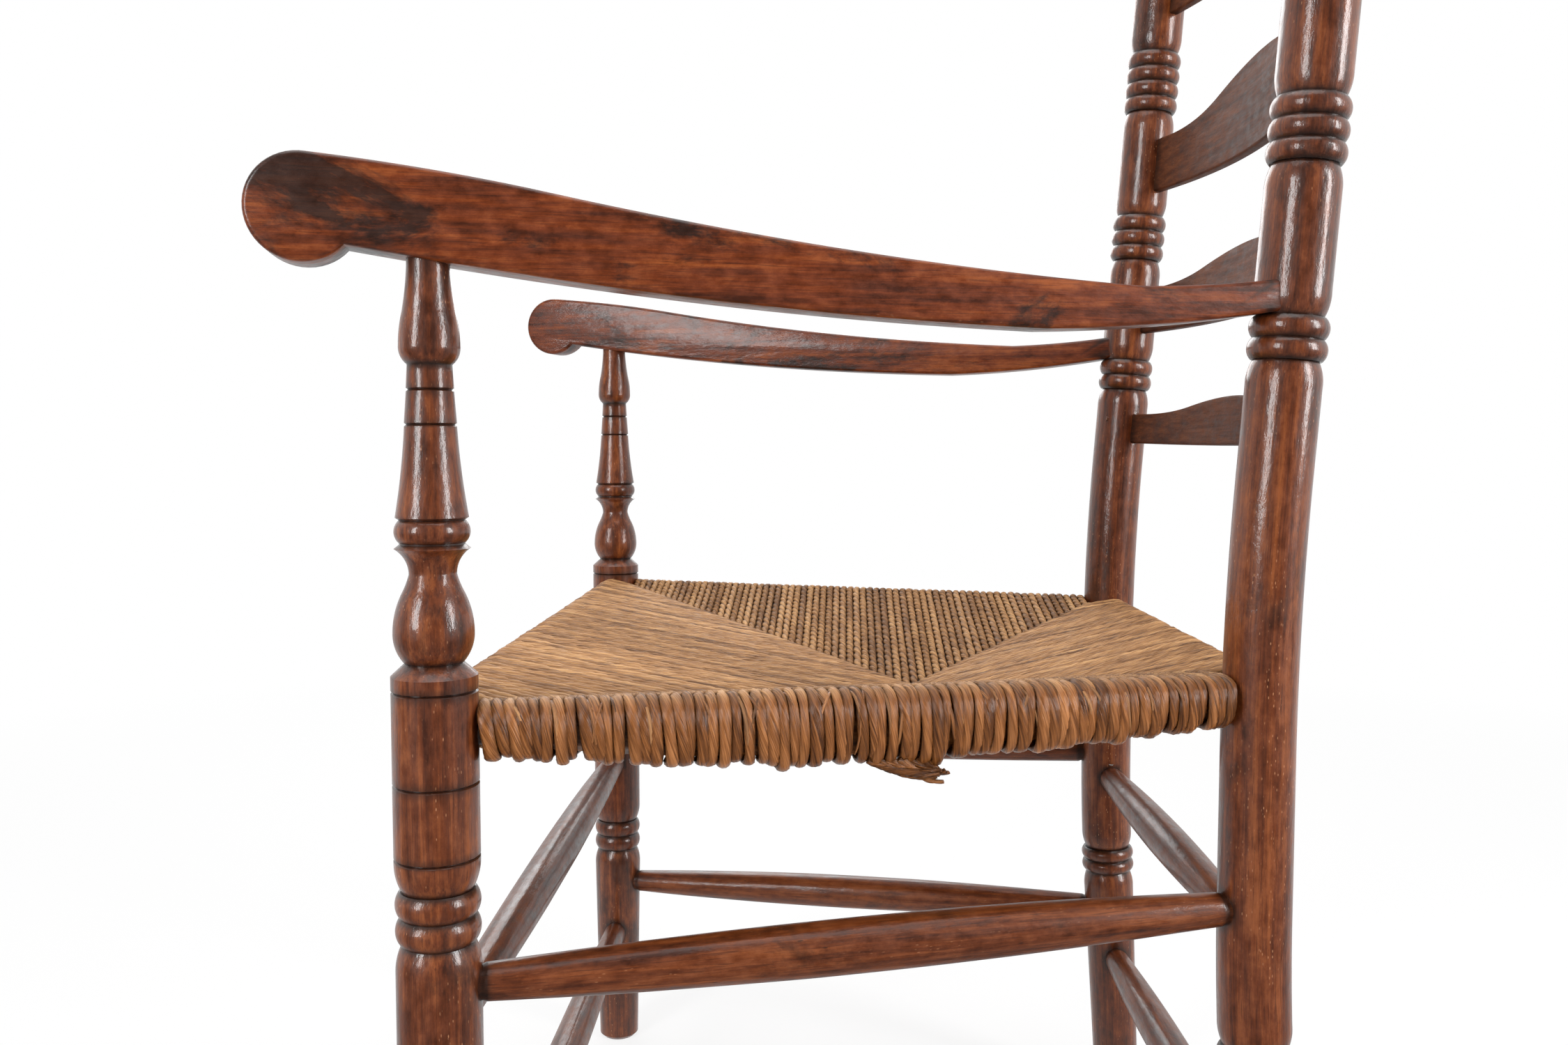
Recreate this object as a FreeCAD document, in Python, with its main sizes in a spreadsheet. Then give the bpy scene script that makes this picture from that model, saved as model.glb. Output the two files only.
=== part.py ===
"""Rush-seated ladderback armchair, as a parametric document.

The chair faces -Y and stands on Z = 0. While it is built, Y = 0 is the line through the two
front posts, and X = 0 is the middle. The finished pieces are moved back by Sizes.chair_middle,
so that the origin lies on the floor under the middle of the whole chair.
"""
import FreeCAD, Part
import Sketcher
import math
import os

Vector = FreeCAD.Vector

# Driving sizes in millimetres and degrees. Heights are above the floor.
SIZES = {
    "collar_height": 440.0,
    "front_spread": 572.0,
    "back_spread": 366.0,
    "seat_depth": 428.0,
    "joint_clearance": 0.1,
    "post_radius": 20.5,
    "foot_radius": 17.5,
    "foot_chamfer": 3.0,
    "groove_depth": 1.0,
    "groove_width": 1.6,
    "ring_radius": 20.4,
    "ring_valley": 2.4,
    "ring_pitch": 13.0,
    "shoulder_neck": 17.2,
    "shoulder_length": 14.0,
    "shoulder_crown": 0.9,
    "front_ring_drop": 115.0,
    "front_low_ring_drop": 248.0,
    "vase_radius": 19.1,
    "cove_radius": 10.9,
    "flange_radius": 17.9,
    "flange_rise": 63.0,
    "bead_rise": 71.0,
    "cone_rise": 77.5,
    "cone_top_rise": 150.0,
    "cone_top_radius": 10.5,
    "bulb_radius": 14.3,
    "bulb_height": 27.0,
    "arm_neck_radius": 10.3,
    "arm_seat_rise": 202.0,
    "arm_tenon_radius": 7.5,
    "arm_tenon_length": 26.0,
    "kick_angle": 3.0,
    "kick_drop": 150.0,
    "kick_length": 70.0,
    "rake_angle": 4.35,
    "rake_drop": 60.0,
    "rake_length": 160.0,
    "back_post_radius": 20.0,
    "back_ring_radius": 21.0,
    "back_ring_pitch": 11.8,
    "back_low_ring_drop": 235.0,
    "ring_pair_gap": 32.0,
    "ring_three_gap": 42.7,
    "ring_four_gap": 47.5,
    "ring_five_gap": 51.0,
    "post_shoulder_gap": 12.0,
    "finial_neck_radius": 8.0,
    "finial_radius": 15.0,
    "finial_height": 34.0,
    "finial_tip_radius": 4.0,
    "slat_thickness": 8.0,
    "slat_bow": 30.0,
    "slat_tenon": 14.0,
    "slat_five_rise": 114.0,
    "slat_five_end": 23.5,
    "slat_five_crest": 34.0,
    "slat_four_gap": 33.5,
    "slat_four_end": 35.0,
    "slat_four_crest": 49.0,
    "slat_three_gap": 35.3,
    "slat_three_end": 42.0,
    "slat_three_crest": 66.0,
    "slat_two_gap": 50.5,
    "slat_two_end": 50.0,
    "slat_two_crest": 82.0,
    "slat_one_gap": 43.0,
    "slat_one_end": 56.0,
    "slat_one_crest": 98.0,
    "arm_thickness": 25.0,
    "nose_radius": 25.0,
    "nose_reach": 55.0,
    "nose_rise": 220.0,
    "arm_low_reach": 307.0,
    "arm_top_low_rise": 194.6,
    "arm_bottom_low_rise": 171.5,
    "arm_end_top_rise": 198.5,
    "arm_end_bottom_rise": 185.0,
    "arm_top_hollow": 5.0,
    "arm_bottom_hollow": 5.5,
    "arm_end_hollow": 2.5,
    "arm_edge_radius": 3.5,
    "arm_end_tenon_width": 12.0,
    "arm_end_tenon_depth": 9.0,
    "rung_tenon_radius": 8.5,
    "rung_depth": 26.0,
    "front_upper_drop": 178.0,
    "front_lower_drop": 336.0,
    "back_upper_drop": 163.0,
    "back_lower_drop": 316.0,
    "side_upper_front_drop": 151.0,
    "side_upper_back_drop": 145.0,
    "side_lower_front_drop": 293.0,
    "side_lower_back_drop": 278.0,
    "rail_radius": 8.0,
    "rail_tenon_radius": 6.0,
    "front_rail_drop": 14.0,
    "back_rail_drop": 20.0,
    "side_rail_front_drop": 27.0,
    "side_rail_back_drop": 34.0,
    "rush_hang": 12.0,
    "rush_corner_gap": 1.5,
    "rush_sag": 55.0,
    "rush_pad": 22.0,
    "rush_middle": 250.0,
    "rush_rail_gap": 0.3,
    "peg_radius": 2.0,
    "peg_length": 28.6,
    "nail_radius": 1.0,
    "nail_head_radius": 2.2,
    "nail_head_height": 1.0,
    "nail_length": 22.0,
    "nail_slope": 35.0,
    "bead_proud": 1.6,
    "bead_width": 7.2,
    "flange_back": 2.5,
    "cone_radius": 17.2,
    "cone_hollow": 0.6,
    "cone_groove_rise": 121.5,
    "cone_high_groove_rise": 138.0,
    "cone_groove_step": 1.7,
    "cone_high_groove_step": 0.6,
    "vase_shoulder_radius": 15.0,
    "collar_slope": 6.3,
    "vase_top_rise": 41.0,
    "neck_hollow": 1.6,
    "neck_rise": 50.5,
    "bulb_step": 1.8,
    "bulb_slope": 3.6,
    "collar_step": 0.5,
    "low_groove_gap": 27.5,
    "middle_groove_drop": 51.5,
    "high_groove_drop": 7.8,
    "arm_neck_seat": 12.0,
    "foot_allowance": 6.0,
    "back_low_ring_pitch": 10.0,
    "finial_neck_length": 5.0,
    "finial_hollow": 1.2,
    "post_shoulder_length": 8.0,
    "post_shoulder_crown": 2.0,
    "slat_set_back": 2.0,
    "slat_shoulder": 33.0,
    "saw_allowance": 10.0,
    "shoulder_clear": 1.5,
    "rung_slope": 2.0,
    "rung_step": 0.8,
    "side_swell": 5.0,
    "front_swell": 4.0,
    "rail_slope": 4.0,
    "nose_top_angle": 83.0,
    "notch_angle": 42.0,
    "arm_top_low_reach": 360.0,
    "arm_top_high_reach": 51.0,
    "arm_top_high_rise": 231.5,
    "arm_nose_crown": 1.2,
    "arm_end_rise": 191.0,
    "arm_end_tenon_root": 32.0,
    "arm_end_tenon_past": 6.0,
    "peg_below_edge": 5.0,
    "peg_tip": 13.0,
    "nail_drop": 151.0,
    "nail_sink": 1.5,
    "nail_head_room": 8.0,
    "rush_front_top": 4.0,
    "rush_back_top": 11.0,
    "rush_front_half": 12.0,
    "rush_side_half": 15.0,
    "rush_half_width": 13.0,
    "rush_roll_sides": 16.0,
}

# Where the sizes are kept in the document.
SHEET_NAME = "Sizes"
# The slats from the top down, with the word that their sizes begin with.
SLATS = (("slat_1", "slat_one"), ("slat_2", "slat_two"), ("slat_3", "slat_three"),
         ("slat_4", "slat_four"), ("slat_5", "slat_five"))
SIDES = (("left", 1), ("right", -1))


class Size:
    """A value that carries its formula on the sheet beside its present number."""

    def __init__(self, text, number):
        self.text = text
        self.number = number

    def __add__(self, other):
        return Size("(%s + %s)" % (self.text, size(other).text), self.number + size(other).number)

    def __radd__(self, other):
        return size(other) + self

    def __sub__(self, other):
        return Size("(%s - %s)" % (self.text, size(other).text), self.number - size(other).number)

    def __rsub__(self, other):
        return size(other) - self

    def __mul__(self, other):
        return Size("(%s * %s)" % (self.text, size(other).text), self.number * size(other).number)

    def __rmul__(self, other):
        return size(other) * self

    def __truediv__(self, other):
        return Size("(%s / %s)" % (self.text, size(other).text), self.number / size(other).number)

    def __neg__(self):
        return 0 - self


def size(value):
    """Turn a plain number into a Size, and leave a Size as it is."""
    if isinstance(value, Size):
        return value
    return Size("%.10g" % value, value)


def sine(angle):
    """The sine of an angle in degrees."""
    return Size("sin(%s)" % size(angle).text, math.sin(math.radians(size(angle).number)))


def cosine(angle):
    """The cosine of an angle in degrees."""
    return Size("cos(%s)" % size(angle).text, math.cos(math.radians(size(angle).number)))


def root(value):
    """The square root of a Size."""
    return Size("sqrt(%s)" % value.text, math.sqrt(value.number))


def bearing(across, along):
    """The angle in degrees whose sine and cosine go as across and along."""
    across = size(across)
    along = size(along)
    text = "(atan2(%s; %s) / 1deg)" % (across.text, along.text)
    return Size(text, math.degrees(math.atan2(across.number, along.number)))


document = FreeCAD.newDocument("ladderback_armchair")
sheet = document.addObject("Spreadsheet::Sheet", SHEET_NAME)
for row, (alias, number) in enumerate(SIZES.items(), start=1):
    sheet.set("A%d" % row, alias)
    sheet.set("B%d" % row, "%g" % number)
    sheet.setAlias("B%d" % row, alias)
# The last cell is filled in at the end, when the reach of the whole chair is known.
MIDDLE_CELL = "B%d" % (len(SIZES) + 1)
sheet.set("A%d" % (len(SIZES) + 1), "chair_middle")
sheet.set(MIDDLE_CELL, "0")
sheet.setAlias(MIDDLE_CELL, "chair_middle")
document.recompute()


def named(alias):
    """The Size that a cell of the sheet holds."""
    return Size("%s.%s" % (SHEET_NAME, alias), SIZES[alias])


# Places that several pieces share

collar = named("collar_height")
front_half = named("front_spread") / 2
back_half = named("back_spread") / 2
depth = named("seat_depth")
clearance = named("joint_clearance")
rake = named("rake_angle")
kick = named("kick_angle")
kick_start = collar - named("kick_drop")
kick_end = kick_start - named("kick_length")
kick_radius = named("kick_length") / sine(kick)
rake_start = collar - named("rake_drop")
rake_end = rake_start + named("rake_length")
rake_radius = named("rake_length") / sine(rake)
middle = Size("%s.chair_middle" % SHEET_NAME, 0.0)


def back_axis(height):
    """How far the back post's axis stands behind its straight middle, at a height."""
    height = size(height)
    if height.number < kick_end.number:
        kicked = kick_radius * (1 - cosine(kick))
        return kicked + (kick_end - height) * sine(kick) / cosine(kick)
    if height.number < kick_start.number:
        drop = kick_start - height
        return kick_radius - root(kick_radius * kick_radius - drop * drop)
    if height.number <= rake_start.number:
        return size(0)
    if height.number < rake_end.number:
        rise = height - rake_start
        return rake_radius - root(rake_radius * rake_radius - rise * rise)
    raked = rake_radius * (1 - cosine(rake))
    return raked + (height - rake_end) * sine(rake) / cosine(rake)


def stack():
    """Heights up a back post: each slat's lower edge, each set of rings and the shoulder."""
    heights = {"slat_five": collar + named("slat_five_rise")}
    for below, ring_word, above in (("slat_five", "ring_pair", "slat_four"),
                                    ("slat_four", "ring_three", "slat_three"),
                                    ("slat_three", "ring_four", "slat_two"),
                                    ("slat_two", "ring_five", "slat_one")):
        top = heights[below] + named(below + "_end")
        heights[ring_word] = top + named(ring_word + "_gap")
        heights[above] = heights[ring_word] + named(above + "_gap")
    top = heights["slat_one"] + named("slat_one_end")
    heights["post_shoulder"] = top + named("post_shoulder_gap")
    return heights


levels = stack()


# Sketch helpers

def new_sketch(body, name, plane):
    """Start a sketch on one of the body's own origin planes."""
    sketch = body.newObject("Sketcher::SketchObject", name)
    support = [item for item in body.Origin.OriginFeatures if item.Role == plane][0]
    sketch.AttachmentSupport = [(support, "")]
    sketch.MapMode = "FlatFace"
    return sketch


def limit(kind, *values):
    """A constraint whose last value is a Size, with the formula that drives it."""
    value = values[-1]
    return Sketcher.Constraint(kind, *values[:-1], value.number), value.text


def hold(index, vertex, across, up):
    """Constraints that hold one vertex at its place, on an axis where a value is plain 0."""
    pairs = []
    for kind, value, axis in (("DistanceX", size(across), -2), ("DistanceY", size(up), -1)):
        if value.text == "0":
            pairs.append((Sketcher.Constraint("PointOnObject", index, vertex, axis), None))
        else:
            pairs.append(limit(kind, -1, 1, index, vertex, value))
    return pairs


def bind(sketch, pairs):
    """Add constraints, and bind to the sheet each one that has a formula."""
    first = sketch.ConstraintCount
    sketch.addConstraint([constraint for constraint, _ in pairs])
    for offset, (_, formula) in enumerate(pairs):
        if formula and SHEET_NAME in formula:
            sketch.setExpression("Constraints[%d]" % (first + offset), formula)


def arc_between(start, finish, bulge):
    """The arc that stands out by the bulge, to the right of the way where it is positive."""
    chord = finish - start
    right = Vector(chord.y, -chord.x, 0).normalize()
    depth_out = abs(bulge)
    radius = (chord.Length ** 2 / 4 + depth_out ** 2) / (2 * depth_out)
    side = 1 if bulge > 0 else -1
    centre = (start + finish) * 0.5 + right * side * (depth_out - radius)
    first, last = (start, finish) if bulge > 0 else (finish, start)
    angles = [math.atan2(point.y - centre.y, point.x - centre.x) for point in (first, last)]
    return Part.ArcOfCircle(Part.Circle(centre, Vector(0, 0, 1), radius), *angles)


def outline(sketch, corners):
    """Draw a closed outline and constrain it fully.

    Each corner is (across, up, bulge). The edge that leaves a corner is straight where the
    bulge is None, and otherwise an arc that stands out by the bulge, to the right of the way
    to the next corner where the bulge is positive and to the left where it is negative.
    """
    edges = []
    pairs = []
    count = len(corners)
    for index, (across, up, bulge) in enumerate(corners):
        next_across, next_up, _ = corners[(index + 1) % count]
        start = Vector(size(across).number, size(up).number, 0)
        finish = Vector(size(next_across).number, size(next_up).number, 0)
        if bulge is None:
            edges.append((Part.LineSegment(start, finish), 1, 2))
            continue
        bulge = size(bulge)
        outward = bulge.number > 0
        edges.append((arc_between(start, finish, bulge.number), 1 if outward else 2,
                      2 if outward else 1))
        run = size(next_across) - across
        climb = size(next_up) - up
        radius = ((run * run + climb * climb) / 4 + bulge * bulge) / (2 * bulge)
        pairs.append(limit("Radius", index, radius if outward else -radius))
    sketch.addGeometry([edge for edge, _, _ in edges], False)
    for index, (across, up, _) in enumerate(corners):
        following = (index + 1) % count
        pairs.append((Sketcher.Constraint("Coincident", index, edges[index][2], following,
                                          edges[following][1]), None))
        pairs += hold(index, edges[index][1], across, up)
    bind(sketch, pairs)


def new_body(name):
    """A body whose label is its own name."""
    body = document.addObject("PartDesign::Body", name)
    body.Label = name
    return body


def revolve(body, sketch, name):
    """Turn an outline right round the sketch's upright axis."""
    feature = body.newObject("PartDesign::Revolution", name)
    feature.Profile = sketch
    feature.ReferenceAxis = (sketch, ["V_Axis"])
    feature.Angle = 360
    return feature


def cylinder(name, radius, height, frame):
    """A plain cylinder, bound to the sheet, that stands on a frame's XY plane."""
    solid = document.addObject("Part::Cylinder", name)
    solid.setExpression("Radius", size(radius).text)
    solid.setExpression("Height", size(height).text)
    solid.setExpression("Placement", frame)
    return solid


def block(name, sizes, frame):
    """A plain box, bound to the sheet, with its corner at a frame's origin."""
    solid = document.addObject("Part::Box", name)
    for side, value in zip(("Length", "Width", "Height"), sizes):
        solid.setExpression(side, size(value).text)
    solid.setExpression("Placement", frame)
    return solid


def gather(kind, name, shapes):
    """Fuse or group several shapes under one name."""
    group = document.addObject(kind, name)
    if kind == "Part::Compound":
        group.Links = shapes
    else:
        group.Shapes = shapes
    return group


def cut(name, base, tool):
    """One shape less another, under the piece's own name."""
    result = document.addObject("Part::Cut", name)
    result.Label = name
    result.Base = base
    result.Tool = tool
    return result


# Frames: each is the text of a placement

def turn(axis, angle):
    """A rotation about X, Y or Z by an angle in degrees."""
    unit = {"X": "1; 0; 0", "Y": "0; 1; 0", "Z": "0; 0; 1"}[axis]
    return "rotation(vector(%s); %s)" % (unit, size(angle).text)


def frame(point, *turns):
    """A placement at a point, turned by each rotation from the last to the first."""
    values = tuple(size(value).text for value in point)
    rotation = " * ".join(turns) if turns else turn("Z", 0)
    return "placement(vector(%s; %s; %s); %s)" % (values + (rotation,))


def on_floor(across, back, height, *turns):
    """A placement in the finished chair, from a place given in the building frame."""
    return frame((across, size(back) - middle, height), *turns)


# Turned work

def groove(radius, height):
    """A fine scored line round a post."""
    half = named("groove_width") / 2
    return [(radius, height - half, None), (radius - named("groove_depth"), height, None),
            (radius, height + half, None)]


def rings(count, centre, ring_radius, pitch, post):
    """A set of turned rings with a waisted shoulder below and above."""
    proud = named("ring_valley")
    neck = named("shoulder_neck")
    half = pitch * count / 2
    crown = named("shoulder_crown")
    points = [(post, centre - half - named("shoulder_length"), crown), (neck, centre - half, None)]
    for index in range(count):
        points.append((ring_radius - proud, centre - half + pitch * index, proud))
    points.append((ring_radius - proud, centre + half, None))
    points.append((neck, centre + half, crown))
    points.append((post, centre + half + named("shoulder_length"), None))
    return points


def foot(radius, base):
    """The lowest end of a post, from the axis out, with its edge taken off."""
    chamfer = named("foot_chamfer")
    return [(0, base, None), (radius - chamfer, base, None), (radius, base + chamfer, None)]


def vase_profile():
    """The vase, flange, bead and cone of a front post above its collar."""
    neck = named("cove_radius")
    vase = named("vase_radius")
    flange = named("flange_radius")
    bead = named("bead_proud")
    cone = named("cone_radius")
    slim = named("cone_top_radius")
    shoulder = named("vase_shoulder_radius")
    bead_half = named("bead_width") / 2
    low_groove = collar + named("cone_groove_rise")
    high_groove = collar + named("cone_high_groove_rise")
    return [(named("post_radius") - named("collar_step"), collar, None),
            (shoulder, collar + named("collar_slope"), vase - shoulder),
            (shoulder, collar + named("vase_top_rise"), -named("neck_hollow") / 2),
            (neck, collar + named("neck_rise"), -named("neck_hollow")),
            (flange, collar + named("flange_rise"), None),
            (flange - bead, collar + named("flange_rise") + named("flange_back"), None),
            (flange - bead, collar + named("bead_rise") - bead_half, bead),
            (flange - bead, collar + named("bead_rise") + bead_half, None),
            (cone, collar + named("cone_rise"), -named("cone_hollow")),
            ] + groove(slim + named("cone_groove_step"), low_groove) + groove(
                slim + named("cone_high_groove_step"), high_groove) + [
            (slim, collar + named("cone_top_rise"), None)]


def bulb_profile():
    """The bulb, neck and tenon of a front post under its arm."""
    start = collar + named("cone_top_rise")
    seat = collar + named("arm_seat_rise")
    neck = named("arm_neck_radius")
    tenon = named("arm_tenon_radius")
    rim = neck + named("bulb_step")
    return [(rim, start, named("bulb_radius") - rim),
            (rim, start + named("bulb_height"), None),
            (neck, start + named("bulb_height") + named("bulb_slope"), None),
            (neck, seat, None),
            (tenon, seat, None),
            (tenon, seat + named("arm_tenon_length"), None),
            (0, seat + named("arm_tenon_length"), None)]


def front_post_profile():
    """Half outline of a front post, from the foot to the tip of its arm tenon."""
    post = named("post_radius")
    ring = named("ring_radius")
    pitch = named("ring_pitch")
    points = foot(named("foot_radius"), 0)
    high_rings = collar - named("front_ring_drop")
    points += rings(2, collar - named("front_low_ring_drop"), ring, pitch, post)
    points += rings(2, high_rings, ring, pitch, post)
    points += groove(post, high_rings + named("low_groove_gap"))
    points += groove(post, collar - named("middle_groove_drop"))
    points += groove(post, collar - named("high_groove_drop"))
    return points + vase_profile() + bulb_profile()


def front_post_turning(side_name, side):
    """A front post before its mortises are cut."""
    body = new_body("front_post_%s_turning" % side_name)
    sketch = new_sketch(body, "front_post_%s_outline" % side_name, "XZ_Plane")
    outline(sketch, front_post_profile())
    revolve(body, sketch, "front_post_%s_turned" % side_name)
    body.setExpression("Placement", on_floor(side * front_half, 0, 0))
    return body


def back_post_upper_profile(base):
    """Half outline of a back post above its bend, measured up from the end of the bend."""
    post = named("back_post_radius")
    ring = named("back_ring_radius")
    pitch = named("back_ring_pitch")
    shoulder = levels["post_shoulder"] - base
    neck = named("finial_neck_radius")
    ball = named("finial_radius")
    start = shoulder + named("finial_neck_length")
    points = [(0, 0, None), (post, 0, None)]
    sets = ((2, "ring_pair"), (3, "ring_three"), (4, "ring_four"), (5, "ring_five"))
    for count, word in sets:
        points += rings(count, levels[word] - base, ring, pitch, post)
    points += [(post, shoulder - named("post_shoulder_length"), named("post_shoulder_crown")),
               (neck, shoulder, -named("finial_hollow")),
               (neck, start, ball - neck),
               (named("finial_tip_radius"), start + named("finial_height"), None),
               (0, start + named("finial_height"), None)]
    return points


def back_post_lower_profile(top):
    """Half outline of a back post below its kick, from under the floor up to the kick."""
    post = named("back_post_radius")
    low = -named("foot_allowance") - top
    points = [(0, low, None), (named("foot_radius"), low, None)]
    points += rings(2, collar - named("back_low_ring_drop") - top, named("back_ring_radius"),
                    named("back_low_ring_pitch"), post)
    return points + [(post, 0, None), (0, 0, None)]


def round_section(body, name, across, frame_text):
    """A sketch of the back post's round section, its centre at a place across the sketch."""
    sketch = new_sketch(body, name, "XY_Plane")
    sketch.setExpression("AttachmentOffset", frame_text)
    centre = Vector(0, size(across).number, 0)
    radius = named("back_post_radius")
    circle = Part.Circle(centre, Vector(0, 0, 1), radius.number)
    sketch.addGeometry(circle, False)
    bind(sketch, hold(0, 3, 0, across) + [limit("Radius", 0, radius)])
    return sketch


def bend(body, name, height, radius, angle, upward):
    """Bend the post back from a height, round a centre that stands behind it."""
    section = round_section(body, name + "_section", -radius, frame((0, radius, height)))
    feature = body.newObject("PartDesign::Revolution", name)
    feature.Profile = section
    feature.ReferenceAxis = (section, ["H_Axis"])
    feature.Reversed = upward
    feature.setExpression("Angle", angle.text)


def back_post_turning(side_name, side):
    """A back post, turned, then bent back above the seat and below the stretchers."""
    name = "back_post_%s" % side_name
    body = new_body(name + "_turning")
    section = round_section(body, name + "_middle_section", 0, frame((0, 0, kick_start)))
    straight = body.newObject("PartDesign::Pad", name + "_middle")
    straight.Profile = section
    straight.setExpression("Length", (rake_start - kick_start).text)
    bend(body, name + "_rake", rake_start, rake_radius, rake, True)
    bend(body, name + "_kick", kick_start, kick_radius, kick, False)
    ends = (("top", rake_end, -rake, back_post_upper_profile(rake_end)),
            ("foot", kick_end, kick, back_post_lower_profile(kick_end)))
    for word, height, angle, profile in ends:
        sketch = new_sketch(body, "%s_%s_outline" % (name, word), "YZ_Plane")
        sketch.setExpression("AttachmentOffset",
                             frame((back_axis(height), height, 0), turn("Z", angle)))
        outline(sketch, profile)
        revolve(body, sketch, "%s_%s_turned" % (name, word))
    body.setExpression("Placement", on_floor(side * back_half, depth, 0))
    return body


# Slats

def slat_frame(height):
    """A slat's own placement: on the line between the back posts, leaning with them."""
    return on_floor(0, depth + back_axis(height), height, turn("X", -rake))


def bowed_band(body, name, gap, tall):
    """A bowed board of the slats' thickness, grown by a gap on its two broad faces."""
    reach = back_half - named("back_post_radius") + named("slat_tenon")
    bow = named("slat_bow")
    middle_radius = (back_half * back_half + bow * bow) / (2 * bow)
    half = named("slat_thickness") / 2 + gap
    centre = bow - middle_radius + named("slat_set_back")
    corners = []
    rises = []
    for radius in (middle_radius - half, middle_radius + half):
        flat = root(radius * radius - reach * reach)
        corners.append(centre + flat)
        rises.append(radius - flat)
    front, back = corners
    sketch = new_sketch(body, name + "_plan", "XY_Plane")
    outline(sketch, [(-reach, front, -rises[0]), (reach, front, None),
                     (reach, back, rises[1]), (-reach, back, None)])
    pad = body.newObject("PartDesign::Pad", name + "_band")
    pad.Profile = sketch
    pad.setExpression("Length", size(tall).text)
    return pad


def slat(name, word):
    """A bowed slat with an ogee top edge, and the tool that cuts its two mortises."""
    height = levels[word]
    end = named(word + "_end")
    crest = named(word + "_crest")
    body = new_body(name + "_board")
    bowed_band(body, name, size(0), crest)
    document.recompute()
    start = back_half - named("slat_shoulder")
    turn_point = start / 2
    rise = crest - end
    ogee_radius = (turn_point * turn_point + rise * rise / 4) / rise
    concave_chord = (turn_point * turn_point + rise * rise / 4)
    concave = ogee_radius - root(ogee_radius * ogee_radius - concave_chord / 4)
    wide = back_half + named("post_radius")
    above = crest + named("saw_allowance")
    sketch = new_sketch(body, name + "_top_edge", "XZ_Plane")
    outline(sketch, [(-wide, end, None), (-start, end, concave),
                     (-turn_point, end + rise / 2, -rise / 2), (turn_point, end + rise / 2, concave),
                     (start, end, None), (wide, end, None), (wide, above, None),
                     (-wide, above, None)])
    pocket = body.newObject("PartDesign::Pocket", name + "_shaping")
    pocket.Profile = sketch
    pocket.Type = "ThroughAll"
    pocket.Midplane = True
    body.setExpression("Placement", slat_frame(height))
    tool = new_body(name + "_mortises")
    bowed_band(tool, name + "_mortise", clearance, end + 2 * clearance)
    local = frame((0, 0, -clearance))
    tool.setExpression("Placement", slat_frame(height) + " * " + local)
    return body, tool


# Rungs: stretchers and seat rails

class Rung:
    """A round bar between two post axes, with a straight tenon at each end."""

    def __init__(self, name, start, finish, reach):
        self.name = name
        self.start = start
        self.finish = finish
        run = [size(b) - a for a, b in zip(start, finish)]
        flat = run[0] * run[0] + run[1] * run[1]
        self.span = root(flat + run[2] * run[2])
        self.length = self.span + 2 * reach
        self.turns = (turn("Z", bearing(-run[0], run[1])),
                      turn("X", bearing(run[2], root(flat)) - 90))
        self.middle = [(size(a) + b) / 2 for a, b in zip(start, finish)]
        self.along = [value / self.span for value in run]

    def frame(self, offset):
        """The placement of a plane that crosses the bar at an offset from its middle."""
        point = [m + a * offset for m, a in zip(self.middle, self.along)]
        return on_floor(point[0], point[1], point[2], *self.turns)

    def bar(self, tenon, shoulder, body_radius, swell):
        """The turned bar: its tenons, the slope at each shoulder, and its swelling middle."""
        body = new_body(self.name + "_bar")
        half = self.length / 2
        inner = half - named("rung_depth") - named("shoulder_clear")
        corners = [(0, -half, None), (tenon, -half, None), (tenon, -inner, None),
                   (body_radius, -inner + shoulder, swell),
                   (body_radius, inner - shoulder, None), (tenon, inner, None),
                   (tenon, half, None), (0, half, None)]
        sketch = new_sketch(body, self.name + "_outline", "XZ_Plane")
        outline(sketch, corners)
        revolve(body, sketch, self.name + "_turned")
        body.setExpression("Placement", self.frame(size(0)))
        return body

    def mortises(self, tenon):
        """The tool for the round mortise at each end."""
        return cylinder(self.name + "_mortises", tenon + clearance, self.length,
                        self.frame(-self.length / 2))


def rung_ends():
    """Where each stretcher and each rail runs: its name and its two ends on the post axes."""
    runs = []
    for word, front_drop, back_drop in (
            ("upper_stretcher", "side_upper_front_drop", "side_upper_back_drop"),
            ("lower_stretcher", "side_lower_front_drop", "side_lower_back_drop"),
            ("seat_rail", "side_rail_front_drop", "side_rail_back_drop")):
        for side_name, side in SIDES:
            low = collar - named(front_drop)
            high = collar - named(back_drop)
            runs.append(("%s_%s" % (side_name, word), (side * front_half, 0, low),
                         (side * back_half, depth + back_axis(high), high)))
    for word, front_drop, back_drop in (
            ("upper_stretcher", "front_upper_drop", "back_upper_drop"),
            ("lower_stretcher", "front_lower_drop", "back_lower_drop"),
            ("seat_rail", "front_rail_drop", "back_rail_drop")):
        low = collar - named(front_drop)
        high = collar - named(back_drop)
        back = depth + back_axis(high)
        runs.append(("front_" + word, (-front_half, 0, low), (front_half, 0, low)))
        runs.append(("back_" + word, (-back_half, back, high), (back_half, back, high)))
    return runs


def make_rungs():
    """Every stretcher and rail, with the tools that cut their mortises."""
    bars = {}
    tools = {}
    for name, start, finish in rung_ends():
        reach = named("rung_depth") - named("post_radius")
        rung = Rung(name, start, finish, reach)
        if name.endswith("seat_rail"):
            tenon = named("rail_tenon_radius")
            bars[name] = rung.bar(tenon, named("rail_slope"), named("rail_radius"), None)
        else:
            tenon = named("rung_tenon_radius")
            swell = "side_swell" if name[0] in "lr" else "front_swell"
            bars[name] = rung.bar(tenon, named("rung_slope"), tenon + named("rung_step"),
                                  named(swell))
        tools[name] = rung.mortises(tenon)
    return bars, tools


# Arms

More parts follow.
